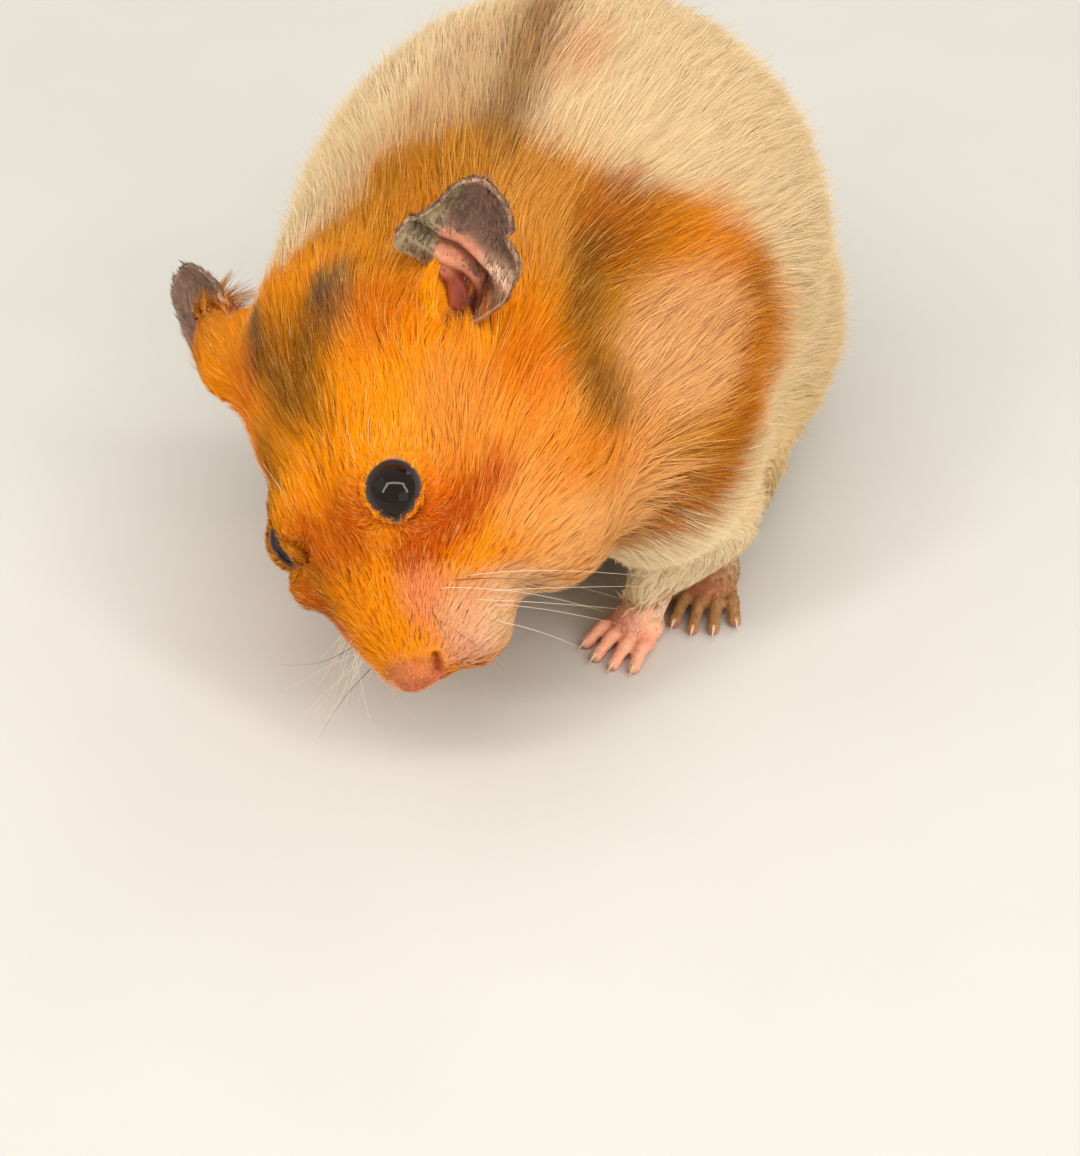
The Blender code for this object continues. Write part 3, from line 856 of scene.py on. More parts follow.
# Each piece of the coat: name, tufts, blades in a tuft, blade width.
COAT = (
    ("coat_face", 15000, 4, 0.085),
    ("coat_brow", 13000, 4, 0.095),
    ("coat_crown", 12000, 4, 0.105),
    ("coat_nape", 11500, 5, 0.115),
    ("coat_left_shoulder", 12000, 5, 0.115),
    ("coat_right_shoulder", 6400, 5, 0.15),
    ("coat_left_flank", 12000, 5, 0.125),
    ("coat_right_flank", 6000, 5, 0.16),
    ("coat_rump", 7200, 5, 0.16),
    ("coat_belly", 4400, 5, 0.16),
)
FACE, BROW, CROWN, NAPE, LEFT_SHOULDER, RIGHT_SHOULDER, LEFT_FLANK, RIGHT_FLANK, RUMP, BELLY = range(10)
EAR_COAT = ("coat_ears", 5600, 3, 0.07)
PAW_COAT = ("coat_paws", 4500, 3, 0.07)
# Rungs of a blade: share of its length, share of its width, and on which sides its corners lie.
BLADE_RUNGS = ((0.0, 1.0, (-1, 1)), (0.5, 0.7, (-1, 1)), (1.0, 0.0, (0,)))
BLADE_FACES = ((0, 1, 3), (0, 3, 2), (2, 3, 4))
ROOT_DEPTH = 0.12  # how deep a blade's root lies below the skin
LOWEST_HAIR = 0.08
TUFTS_IN_LOCK, LOCK_PULL = 14, 0.12
FLAT_PATCH = 0.003  # side of a tuft's patch on the flat map

# How one kind of hair grows: functions of the place for its length, depth, lie, colour and bare parts.
Habit = namedtuple("Habit", "length depth lie colour bare")
Roots = namedtuple("Roots", "spots normals flat")
Tufts = namedtuple("Tufts", "spots normals over lie across length rise base bend tip")
Blades = namedtuple("Blades", "tuft start knee end cut half roll")


def coat_region(spots):
    """Which piece of the coat each place belongs to."""
    ahead, on_head = in_head(spots)[:, 0], headness(spots) > 0.5
    angle, along = around_back(spots)
    out = spots[:, 0] - BACK_LINE[0]
    front = along < -3
    kind = np.where(along < 22, np.where(out > 0, LEFT_FLANK, RIGHT_FLANK), RUMP)
    kind = np.where(front, np.where(out > 0, LEFT_SHOULDER, RIGHT_SHOULDER), kind)
    kind = np.where(front & (np.abs(angle) < 38), NAPE, kind)
    kind = np.where((spots[:, 2] < 12) & (np.abs(out) < 22), BELLY, kind)
    kind = np.where(on_head, CROWN, kind)
    kind = np.where(on_head & (ahead > -28), BROW, kind)
    return np.where(on_head & (ahead > -14.5), FACE, kind)


def bare(spots, _):
    """Where no hair grows: the nose, the eyes, the hollows of the ears and the soles."""
    place = in_head(spots)
    nose = length_of((place - (-0.6, 0, -1.2)) / (1.2, 1.9, 1.3)) < 1
    soles = (spots[:, 2] < 1.0) & (to_feet(spots) < 2)
    clear = nose | (both_sides(place, NOSTRIL) < 0.7) | soles
    for side in SIDES:
        distance, beyond = around_eye(spots, side)
        radius, _, within = in_bowl(spots, side)
        clear |= (distance < 4.5) & (beyond < 7)
        clear |= (radius < EAR_BOWLS[side][2]) & within
    return clear


def unwrap(skin, chosen, name):
    """A copy of the chosen faces of the skin, with a map that lays them out flat."""
    shape = bmesh.new()
    shape.from_mesh(skin.data)
    kept = set(chosen.tolist())
    spare = [face for face in shape.faces if face.index not in kept]
    bmesh.ops.delete(shape, geom=spare, context="FACES")
    part = to_object(name, shape)
    select(part)
    bpy.ops.object.mode_set(mode="EDIT")
    bpy.ops.mesh.select_all(action="SELECT")
    bpy.ops.uv.smart_project(angle_limit=math.radians(66), island_margin=0.004)
    bpy.ops.object.mode_set(mode="OBJECT")
    return part


def plant(part, count, dice, habit):
    """Places where tufts grow, closer together where the hair is short."""
    mesh = part.data
    mesh.calc_loop_triangles()
    spots, normals = vertices_of(part)
    corners = rows_of(mesh.loop_triangles, "vertices", 3, np.int32)
    loops = rows_of(mesh.loop_triangles, "loops", 3, np.int32)
    flat = rows_of(mesh.uv_layers.active.data, "uv", 2)
    low, high = flat.min(axis=0), flat.max(axis=0)
    flat = (flat - low) / (high - low)
    centre = spots[corners].mean(axis=1)
    first, second, third = (spots[corners[:, number]] for number in range(3))
    face = np.cross(second - first, third - first)
    weight = length_of(face) * (~habit.bare(centre, unit(face))) / (1.2 + habit.length(centre)) ** 0.7
    picked = dice.choice(len(corners), count, p=weight / weight.sum())
    share = dice.dirichlet((1, 1, 1), count)[:, :, None]
    spots = (spots[corners[picked]] * share).sum(axis=1)
    normals = unit((normals[corners[picked]] * share).sum(axis=1))
    return Roots(spots, normals, (flat[loops[picked]] * share).sum(axis=1))


def near(tree, spots):
    """For each place, the number of the nearest one in the tree."""
    return np.array([tree.find(spot)[1] for spot in spots.tolist()])


def tree_of(spots):
    tree = KDTree(len(spots))
    for number, spot in enumerate(spots.tolist()):
        tree.insert(spot, number)
    tree.balance()
    return tree


def surface_of(*objects):
    """The objects' vertices, normals and a tree to find them in."""
    spots, normals = (np.concatenate(part) for part in zip(*map(vertices_of, objects)))
    return spots, normals, tree_of(spots)


def draw_locks(tip, length, dice):
    """Draws tips within a few millimetres of one another together."""
    count = len(tip)
    seeds = dice.choice(count, max(8, count // TUFTS_IN_LOCK), replace=False)
    owner = seeds[near(tree_of(tip[seeds]), tip)]
    return mix(tip, tip[owner], (LOCK_PULL * ramp(length, 1.5, 7))[:, None])


def lay_tufts(roots, surface, dice, habit):
    """Tufts that rise from their roots, lie back along the skin and end above it by the coat's depth."""
    spots, normals, _ = roots
    skin_spots, skin_normals, skin_tree = surface
    count = len(spots)
    length = habit.length(spots) * dice.uniform(0.8, 1.15, count)
    lie = swung(habit.lie(spots, normals), normals, dice.normal(0, 7, count))
    reach = spots + lie * length[:, None]
    under = near(skin_tree, reach)
    over = skin_normals[under]
    rise = habit.depth(spots) * dice.uniform(0.8, 1.12, count)
    tip = reach - over * dot(reach - skin_spots[under], over)[:, None] + over * rise[:, None]
    tip = draw_locks(tip, length, dice)
    bend = spots + lie * (length * 0.42)[:, None] + normals * (rise * 0.85)[:, None]
    base = spots - normals * ROOT_DEPTH
    return Tufts(spots, normals, over, lie, np.cross(lie, normals), length, rise, base, bend, tip)


def spread_blades(tufts, blades, width, dice):
    """The blades of each tuft: beside one another, fanned out at the tip, and a few of them astray."""
    tuft = np.repeat(np.arange(len(tufts.spots)), blades)
    total = len(tuft)
    spread = (0.14 + 0.05 * tufts.length)[tuft] * dice.normal(0, 0.55, total)
    shift = tufts.across[tuft] * spread[:, None]
    ahead = tufts.lie[tuft] * (dice.normal(0, 0.35, total) * 0.5)[:, None]
    fan = dice.uniform(0.15, 1.1, total)[:, None]
    stray = (dice.random(total) < 0.09) * dice.uniform(0.2, 0.8, total)
    stray *= 1 - 0.6 * headness(tufts.spots)[tuft]
    lift = tufts.over[tuft] * (tufts.rise[tuft] * (dice.normal(0, 0.12, total) + stray))[:, None]
    start = tufts.base[tuft] + shift * 0.8 + ahead
    knee = tufts.bend[tuft] + shift + ahead
    end = tufts.tip[tuft] + shift * fan + ahead + lift
    cut = dice.uniform(0.72, 1.0, total)
    half = width * dice.uniform(0.8, 1.2, total) / 2
    roll = np.radians(dice.normal(0, 24, total))[:, None]
    return Blades(tuft, start, knee, end, cut, half, roll)


def colour_blades(tufts, tuft, dice, habit):
    """Each blade's linear colour, how dark it is at the root (its grey undercoat and painted shade deep in
    the coat), and the blade's own brightness.
    """
    count, total = len(tufts.spots), len(tuft)
    shades = dice.normal(1, 0.03, count)[tuft] * dice.normal(1, 0.05, total)
    jitter = tufts.lie * dice.normal(0, 0.5, count)[:, None]
    jitter += tufts.across * dice.normal(0, 0.3, count)[:, None]
    colour = habit.colour(tufts.spots * 0.04 + tufts.bend * 0.32 + tufts.tip * 0.64 + jitter)[tuft]
    golden = fade(colour[:, 2] / colour[:, 0], 0.14, 0.36)
    on_head = headness(tufts.spots)[tuft]
    ticked = dice.random(total) < (0.22 - 0.19 * on_head) * golden
    colour = mix(colour, colour * (0.45, 0.4, 0.5), (ticked * 0.8)[:, None])
    pale = dice.random(total) < 0.12 * golden
    colour = tint(colour, "#f6bc66", pale * 0.5)
    # Darker roots, most on the golden body: partly the grey undercoat, partly painted shade between the
    # blades.
    return colour, 0.96 - 0.3 * golden * (1 - on_head) - 0.06 * golden * on_head, shades


def blade_corners(tufts, blades, flat, colours):
    """The blades' corners on their curves, with normals, colours and flat places."""
    tuft, start, knee, end, cut, half, roll = blades
    colour, root_undercoat_and_shade, shades = colours
    upright, over = tufts.normals[tuft], tufts.over[tuft]
    own_share = 0.3 - 0.16 * headness(tufts.spots)[tuft]  # of the blade's own normal in the one it shows
    flat = np.clip(flat, FLAT_PATCH / 2, 1 - FLAT_PATCH / 2)[tuft]
    rows = []
    for step, width, sides in BLADE_RUNGS:
        s = (step * cut)[:, None]
        at = start * (1 - s) ** 2 + knee * 2 * s * (1 - s) + end * s * s
        at[:, 2] = np.maximum(at[:, 2], LOWEST_HAIR)
        along = unit((knee - start) * (1 - s) + (end - knee) * s)
        outward = mix(upright, over, s)
        square_out = square(unit(outward), along)
        flatness = np.cross(along, square_out) * np.cos(roll) + square_out * np.sin(roll)
        normal = unit(outward * 0.8 + np.cross(flatness, along) * own_share[:, None])
        # Dark at the root and a little brighter at the tip: grey undercoat and painted shade deep in the
        # coat.
        tone = mix(root_undercoat_and_shade, 1.06, min(1, step * 1.5)) * shades
        for side in sides:
            corner = at + flatness * (side * half * width)[:, None]
            place = flat + np.array((side / 2, step - 0.5)) * FLAT_PATCH
            rows.append((corner, normal, colour * tone[:, None], place))
    corners, facing, tints, maps = (np.stack(part, axis=1) for part in zip(*rows))
    tints = np.clip(tints, 0, 1)
    return corners.reshape(-1, 3), facing.reshape(-1, 3), tints.reshape(-1, 3), maps.reshape(-1, 2)


def repeated(pattern, count):
    """The faces of many alike pieces, from the faces of one."""
    pattern = np.array(pattern)
    return (np.arange(count)[:, None, None] * (pattern.max() + 1) + pattern).reshape(-1, 3)


def grow_coat(skin, surface, piece, chosen, finish, habit):
    """One piece of the coat: tufts of tapering blades over the chosen faces."""
    name, count, blades, width = piece
    dice = np.random.default_rng(count)
    part = unwrap(skin, chosen, name + "_map")
    roots = plant(part, count, dice, habit)
    bpy.data.objects.remove(part)
    tufts = lay_tufts(roots, surface, dice, habit)
    spread = spread_blades(tufts, blades, width, dice)
    colours = colour_blades(tufts, spread.tuft, dice, habit)
    corners, facing, tints, maps = blade_corners(tufts, spread, roots.flat, colours)
    mesh_piece(name, corners, repeated(BLADE_FACES, count * blades), facing, tints, finish, maps)


def mesh_piece(name, corners, faces, facing, tints, finish, maps=None):
    """A finished piece from arrays, with its normals, colours and flat map."""
    mesh = bpy.data.meshes.new(name)
    mesh.vertices.add(len(corners))
    mesh.vertices.foreach_set("co", (corners * MM).ravel())
    mesh.loops.add(len(faces) * 3)
    mesh.loops.foreach_set("vertex_index", faces.ravel())
    mesh.polygons.add(len(faces))
    mesh.polygons.foreach_set("loop_start", np.arange(len(faces)) * 3)
    mesh.update(calc_edges=True)
    mesh.validate()
    mesh.polygons.foreach_set("use_smooth", np.ones(len(mesh.polygons), bool))
    if maps is not None:
        layer = mesh.uv_layers.new(name="OFBake")
        layer.data.foreach_set("uv", maps[faces.ravel()].ravel())
    made = link(name, mesh)
    paint(made, tints)
    mesh.normals_split_custom_set_from_vertices(facing.tolist())
    mesh.materials.append(finish)
    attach(made, "root")


def grow_whole_coat(skin, paws, finish):
    """The coat in its pieces, lying over the skin and on to the backs of the feet."""
    surface = surface_of(skin, paws)
    kinds = coat_region(rows_of(skin.data.polygons, "center", 3) / MM)
    habit = Habit(hair_length, coat_depth, lie_of_coat, markings, bare)
    for number, piece in enumerate(COAT):
        grow_coat(skin, surface, piece, np.nonzero(kinds == number)[0], finish, habit)


def paw_lie(spots, normals):
    """Hair on the feet lies forward to the claws."""
    return square(np.tile((0.0, -1.0, -0.25), (len(spots), 1)), normals)


def paw_hair_colour(spots):
    """Pale on the forepaws, brown on the hind feet."""
    fore = np.tile(linear("#ffd0ae"), (len(spots), 1))
    return tint(fore, "#a87c4a", to_feet(spots, HIND_FEET) < 1)


def ear_lie(spots, normals):
    """Hair on the ears points to their tips."""
    flow = np.empty_like(spots)
    for side in SIDES:
        own = in_head(spots)[:, 1] * side > 0
        flow[own] = directed(mirrored(ear_axes(side)[0], side))
    return swung(square(flow, normals), normals, 22 * ripple(spots, 5, 31))


def above_fur(spots):
    """Height above the fur at the foot of whichever ear the place is on."""
    left, right = (in_ear(spots, side)[:, 0] - EAR_FUR_LINES[side] for side in SIDES)
    return np.where(in_head(spots)[:, 1] > 0, left, right)


def ear_hair_colour(spots):
    """Pale and dark hairs mixed, golden towards the base."""
    dark = np.tile(linear("#655044"), (len(spots), 1))
    colour = tint(dark, "#957d68", ramp(ripple(spots, 0.7, 41), -0.6, 0.7))
    return tint(colour, "#dc7a10", 0.9 * fade(above_fur(spots), -0.5, 2))


def bare_in_ear(spots, normals):
    """The left ear's inner face is bare below its upper lobe, save for the hind lobe."""
    height, across, _ = in_ear(spots, 1).T
    up = (height + EAR_SUNK[1]) / EAR_LENGTHS[1]
    across = across - EAR_BACKSETS[1] * fade(up, 0, 0.55)
    inner = normals @ directed(ear_axes(1)[2]) > -0.2
    return (in_head(spots)[:, 1] > 0) & inner & (up < 0.5) & (across < 1.7) & (across > -3)


# Sparse short pale hair on the backs of the feet.
PAW_HABIT = Habit(
    lambda spots: mix(0.6, 1.2, ramp(spots[:, 2], 2.4, 4.5)),
    lambda spots: np.full(len(spots), 0.1),
    paw_lie,
    paw_hair_colour,
    lambda spots, normals: (spots[:, 2] < 1.1) | (normals[:, 2] < 0.1),
)
# Sparse short hairs over both faces of the ears.
EAR_HABIT = Habit(
    lambda spots: mix(1.1, 3.0, fade(above_fur(spots), -1, 1.5)),
    lambda spots: np.full(len(spots), 0.16),
    ear_lie,
    ear_hair_colour,
    bare_in_ear,
)


def grow_sparse_coat(obj, piece, finish, habit):
    """Hair over the whole of an object."""
    grow_coat(obj, surface_of(obj), piece, np.arange(len(obj.data.polygons)), finish, habit)


# ---------------------------------------------------------------- eyes


def eyeball(side, finish):
    shape = bmesh.new()
    ball(shape, eye_middle(side), (EYE_RADIUS,) * 3, detail=5)
    made = to_object(f"eyeball_{SIDES[side]}", shape)
    finish_piece(made, finish)
    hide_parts(f"eye_{SIDES[side]}")


# Rings of a lid: distance from the eye's middle, and degrees outside the opening.
LID_RINGS = ((2.75, -6), (2.95, -3), (3.03, 0), (3.12, 3), (3.17, 7), (3.12, 13), (2.8, 24))
LID_SEGMENTS = 72
CORNER_BEAD = 0.22  # how far the bead in the front corner stands out


def lid_grid():
    """A tube of rings, each ring's number as its height."""
    shape = bmesh.new()
    bmesh.ops.create_circle(shape, segments=LID_SEGMENTS, radius=1.0)
    edges = shape.edges[:]
    for number in range(1, len(LID_RINGS)):
        grown = bmesh.ops.extrude_edge_only(shape, edges=edges)["geom"]
        edges = [item for item in grown if isinstance(item, bmesh.types.BMEdge)]
        for item in grown:
            if isinstance(item, bmesh.types.BMVert):
                item.co.z = number
    return shape


def lids(side):
    """The rim round one eye: drawn to a point at the front corner, with a bead along its edge."""
    centre, axis, front, across = eye_frame(side)
    shape = lid_grid()
    flat = np.array([vertex.co[:] for vertex in shape.verts])
    distance, beyond = np.array(LID_RINGS)[np.round(flat[:, 2]).astype(int)].T
    turn = np.arctan2(flat[:, 1], flat[:, 0])
    angle = np.radians(opening(turn, side) + beyond)
    bead = np.where(beyond > 0, CORNER_BEAD * bump(turn, 0.35), 0)
    out = np.outer(np.cos(turn), front) + np.outer(np.sin(turn), across)
    spots = axis * np.cos(angle)[:, None] + out * np.sin(angle)[:, None]
    spots = centre + spots * (distance + bead)[:, None]
    place_vertices(shape, spots)
    made = to_object(f"lids_{SIDES[side]}", shape)
    colour = tint(np.tile(linear("#1c100d"), (len(beyond), 1)), "#7a5a4e", ramp(beyond, 2, 5))
    colour = tint(colour, "#b9765e", ramp(beyond, 1, 9) * bump(turn, 0.45))
    paint(made, mix(colour, markings(spots), ramp(beyond, 9, 20)[:, None]))
    return made


# ---------------------------------------------------------------- ears

EAR_GRID = (48, 56)  # faces across and up
# Folds inside the ear: a line of (height, across) points, how high each stands and how wide it is.
EAR_FOLDS = (
    (((0.56, -0.95), (0.5, -0.3), (0.4, 0.35), (0.37, 0.8)), 0.75, 0.055),
    (((0.42, -1.0), (0.36, -0.4), (0.24, 0.2), (0.12, 0.45)), 1.0, 0.06),
    (((0.3, -0.9), (0.22, -0.3), (0.08, 0.1)), 0.8, 0.05),
    (((0.46, -1.0), (0.43, -0.2), (0.3, 0.4), (0.1, 0.62)), -0.9, 0.05),
    (((0.2, -0.1), (0.1, 0.3), (0.0, 0.5)), -1.3, 0.09),
)
FOLD_UP, FOLD_ACROSS = 1.6, 0.55  # the ear's height and half width, to one another, where its folds are drawn


def ear_outline(up, across, rolled):
    """Half width of the ear as a share of its widest: a notch above the hind lobe, and the lobe itself."""
    flare = 0.9 + 0.35 * up - 0.42 * up * up
    leaf = flare * np.sqrt(np.maximum(0, 1 - up**4.8)) + 0.02
    behind, ahead = ramp(across, 0.1, 0.9) * rolled, ramp(-across, 0.1, 0.9) * rolled
    notch = 0.2 * bump(up - 0.67, 0.055)
    lobe = 0.02 * bump(up - 0.38, 0.17)
    return leaf * (1 + behind * (lobe - notch) - ahead * 0.24 * ramp(up, 0.5, 0.75))


def swell(up, centre, below, above):
    """A smooth bump along the ear that fades faster on one side of its centre than on the other."""
    return bump(up - centre, np.where(up < centre, below, above))


def front_roll(up, across, rolled):
    """How far the ear's front edge rolls outwards and, lower down, sinks into the fur."""
    edge = ramp(-across, 0.35, 1.0)
    return edge * (2.4 * rolled * swell(up, 0.38, 0.2, 0.3) + 2.8 * fade(up, 0.1, 0.35))


def fold_share(up, across, line, width):
    flat = np.stack([up * FOLD_UP, across * FOLD_ACROSS, 0 * up], axis=1)
    path = [(a * FOLD_UP, b * FOLD_ACROSS, 0) for a, b in line]
    return bump(along_line(flat, path), width * FOLD_UP)


def ear_folds(up, across):
    return sum(height * fold_share(up, across, line, width) for line, height, width in EAR_FOLDS)


def ear_surface(up, across, side):
    """Places on the ear's leaf, in the head's frame."""
    rise, sideways, opens = ear_axes(side)
    curl = np.radians(np.interp(up, (0, 0.3, 1), (150, 62, 34)))
    rolled = EAR_ROLLED[side]
    hind = rolled * ramp(across, 0.3, 1)
    narrow = mix(0.7 - 0.3 * rolled * ramp(across, 0.2, 0.8), 1, ramp(up, 0, 0.35))
    radius = EAR_HALF_WIDTHS[side] * ear_outline(up, across, rolled) * narrow / curl
    bend = across * curl
    height = EAR_LENGTHS[side] * up - EAR_SUNK[side] - 3.0 * hind * fade(up, 0, 0.45)
    towards = radius * (1 - np.cos(bend)) - EAR_BOW * np.sin(math.pi * up)
    towards = towards + ear_folds(up, across) - front_roll(up, across, rolled)
    towards = towards - (3.0 * ramp(np.abs(across), 0.3, 1) - 1.6 * hind) * fade(up, 0, 0.3)
    shift = radius * np.sin(bend) - 2.6 * rolled * ramp(-across, 0.5, 1) * swell(up, 0.3, 0.17, 0.22)
    shift = shift + 0.9 * hind * swell(up, 0.5, 0.14, 0.12)
    shift = shift + EAR_BACKSETS[side] * fade(up, 0, 0.55)
    moves = ((height, rise), (shift, sideways), (towards, opens))
    spot = np.array(EAR_ROOTS[side]) + sum(np.outer(much, way) for much, way in moves)
    return mirrored(spot, side)


def ear_colours(up, across, side):
    """Grey-brown upper lobe, pink folds with painted shade in the grooves between them, painted shade in the
    hollow at the foot, and a pale hind rim.
    """
    colour = np.tile(linear("#7c5848"), (len(up), 1))
    colour = tint(colour, "#c66f4c", fade(up + 0.15 * ramp(across, -0.3, 0.7), 0.47, 0.58))
    for line, height, width in EAR_FOLDS:
        # Raised folds pale pink; sunk folds painted dark as shade in their grooves.
        tone = "#e39a76" if height > 0 else "#5a2014"
        colour = tint(colour, tone, 0.75 * fold_share(up, across, line, width))
    rim = ramp(np.abs(across), 0.94, 1.0) + ramp(up, 0.97, 1.0)
    layers = (
        ("#a4462c", 0.8 * fade(up, 0.16, 0.34)),  # the deep part
        # Painted shade in the hollow at the ear's foot.
        ("#4a1810", bump(up - 0.09, 0.15) * bump(across - 0.3, 0.45)),  # the hollow
        ("#85604a", 0.85 * fade(up, 0.32, 0.4) * ramp(across, 0.35, 0.6)),  # the hind lobe
        ("#f4caa2", 0.95 * bump(up - 0.41, 0.05) * bump(across - 0.7, 0.28)),  # a pale patch over it
        ("#9a8864", 0.9 * EAR_ROLLED[side] * ramp(-across, 0.45, 0.62) * ramp(up, 0.05, 0.2)),
        ("#d9a888", 0.5 * np.clip(rim, 0, 1)),
    )
    for tone, share in layers:
        colour = tint(colour, tone, share)
    return colour


def ear(side):
    """One ear: a grid bent into a cupped leaf with folds in it, then given its thickness."""
    shape = bmesh.new()
    bmesh.ops.create_grid(shape, x_segments=EAR_GRID[0], y_segments=EAR_GRID[1], size=1.0)
    flat = np.array([vertex.co[:] for vertex in shape.verts])
    up, across = (flat[:, 1] + 1) / 2, flat[:, 0]
    place_vertices(shape, from_head(ear_surface(up, across, side)))
    made = to_object(f"ear_leaf_{SIDES[side]}", shape)
    paint(made, ear_colours(up, across, side))
    wall = made.modifiers.new("wall", "SOLIDIFY")
    wall.thickness, wall.offset = EAR_THICKNESS * MM, 0.0
    settle(made)
    return made


# ---------------------------------------------------------------- paws and claws

SOLE_LEVEL = 0.02
HEEL_WIDTH, INSTEP_WIDTH = 0.72, 0.78  # shares of the palm's half width
# Radii of a digit at its stations, from the back of the palm to the pad.
DIGIT_RADII = (0.7, 0.92, 0.78, 0.66, 0.74)
# CREASE also sets how much darker the creases and lighter their ridges are painted.
CREASE = 0.05  # depth of the skin's creases
CLAW_LENGTH, CLAW_ROOT, CLAW_TIP = 1.35, 0.3, 0.05
CLAW_SHOWN, CLAW_DROP, CLAW_RISE = 0.92, 0.62, 0.42  # share of its length ahead, fall at its tip, start
CLAW_LOWEST = 0.04


def absorb(shape, piece):
    """Adds the piece's mesh to the shape."""
    mesh = bpy.data.meshes.new("piece")
    piece.to_mesh(mesh)
    piece.free()
    shape.from_mesh(mesh)
    bpy.data.meshes.remove(mesh)


def wrap(shape):
    """Turns the shape into its convex hull."""
    old = shape.faces[:]
    hull = bmesh.ops.convex_hull(shape, input=shape.verts, use_existing_faces=False)
    kept = set(hull["geom"])
    left_over = hull["geom_interior"] + hull["geom_unused"]
    spare = {item for item in left_over if isinstance(item, bmesh.types.BMVert)}
    bmesh.ops.delete(shape, geom=[f for f in old if f.is_valid and f not in kept], context="FACES_ONLY")
    bmesh.ops.delete(shape, geom=list(spare), context="VERTS")


def chain(shape, stations, place):
    """Adds tapered rounded lengths through (spot, radius) stations."""
    for pair in zip(stations, stations[1:]):
        piece = bmesh.new()
        for spot, radius in pair:
            ball(piece, spot, (radius,) * 3, place, detail=2)
        wrap(piece)
        absorb(shape, piece)


def paw_parts(node):
    """The paw's frame, digits and palm."""
    spot, heading = PAWS[node]
    place = Matrix.Translation((*spot, 0)) @ Matrix.Rotation(math.radians(heading), 4, "Z")
    fore = node in FOREPAWS
    return place, FORE_DIGITS if fore else HIND_DIGITS, FORE_PALM if fore else HIND_PALM


def digit_stations(offset, splay, reach, palm_length):
    """Root, knuckle, last joint and pad of a digit, and the way that it points."""
    angle = math.radians(splay)
    ahead = Vector((math.sin(angle), -math.cos(angle), 0))
    root = Vector((offset, -palm_length * 0.72, DIGIT * 1.1))
    knuckle = root + ahead * reach * 0.45 + UP * DIGIT * 0.75
    joint = root + ahead * reach * 0.78 + UP * DIGIT * 0.1
    pad = root + ahead * reach - UP * DIGIT * 0.3
    return (root, knuckle, joint, pad), ahead


def paw_flesh(node):
    """Palm, heel, tendons, knuckles and pads of one foot as one skin."""
    place, digits, (length, half_width, height) = paw_parts(node)
    shape = bmesh.new()
    ball(shape, (0, -length * 0.42, height * 0.38), (half_width * 0.94, length * 0.58, height * 0.5), place)
    heel, instep = Vector((0, 0.6, height * 1.1)), Vector((0, -length * 0.5, height * 0.48))
    chain(shape, ((heel, half_width * HEEL_WIDTH), (instep, half_width * INSTEP_WIDTH)), place)
    for offset, splay, reach in digits:
        stations, _ = digit_stations(offset, splay, reach, length)
        back = Vector((offset * 0.55, -length * 0.25, height * 0.62))
        chain(shape, tuple(zip((back, *stations), DIGIT_RADII)), place)
    made = to_object(node + "_skin", shape)
    add_one_skin(made, PAW_CUBE)
    rounding = made.modifiers.new("rounding", "SMOOTH")
    rounding.factor, rounding.iterations = 0.5, 3
    settle(made)
    return made


def paw_colours(node, heights, local, crease):
    """Pink or brown, redder in the webs and on the pads, paler on the wrist, with painted shade in the
    creases and painted highlight on the ridges.
    """
    _, digits, (length, _, _) = paw_parts(node)
    between = np.ones(len(local))
    for offset, splay, reach in digits:
        stations, _ = digit_stations(offset, splay, reach, length)
        between = np.minimum(between, ramp(along_line(local, stations), 0.7, 1.15))
    colour = np.tile(linear("#fdb08c" if node in FOREPAWS else "#b07e4c"), (len(local), 1))
    colour = tint(colour, "#cf6a55", 0.7 * between * ramp(-local[:, 1], length * 0.6, length * 0.9))
    colour = tint(colour, "#dc8a76", 0.6 * fade(heights, 0.3, 1.2))
    wrist = ramp(local[:, 1], -length * 0.7, -length * 0.1) * ramp(heights, 1.2, 2.6)
    colour = tint(colour, "#eccdab", 0.8 * wrist)
    # Painted shade in the creases and painted highlight on their ridges, following the relief of the skin.
    return np.clip(colour * (1 + CREASE * crease[:, None]), 0, 1)


def paw(node):
    """One foot without its claws: creased skin, flat where it rests."""
    made = paw_flesh(node)
    place = paw_parts(node)[0]
    spots, normals = vertices_of(made)
    local = (spots - np.array(place.translation)) @ np.array(place.to_3x3())
    crease = ripple(local * (0.3, 1, 0.6), 0.9, 21)
    spots += normals * (CREASE * crease * ramp(spots[:, 2], 0.2, 0.8))[:, None]
    raise_to(made, spots, SOLE_LEVEL)
    paint(made, paw_colours(node, spots[:, 2], local, crease))
    return made


def claw(place, pad, ahead):
    """One tapering cone that curves down over its pad."""
    shape = bmesh.new()
    cone = {"segments": 10, "radius1": CLAW_ROOT, "radius2": CLAW_TIP, "depth": CLAW_LENGTH}
    bmesh.ops.create_cone(shape, cap_ends=True, **cone)
    half = CLAW_LENGTH / 2
    sloping = [edge for edge in shape.edges if abs(edge.verts[0].co.z - edge.verts[1].co.z) > half]
    bmesh.ops.subdivide_edges(shape, edges=sloping, cuts=5, use_grid_fill=True)
    side = ahead.cross(UP)
    start = pad + ahead * 0.1 + UP * CLAW_RISE
    for vertex in shape.verts:
        x, y, z = vertex.co
        out = (z + half) / CLAW_LENGTH
        spot = start + ahead * (out * CLAW_LENGTH * CLAW_SHOWN) + UP * (y - CLAW_DROP * out * out)
        spot += side * x * 0.8
        spot.z = max(spot.z, CLAW_LOWEST)
        vertex.co = (place @ spot) * MM
    return shape


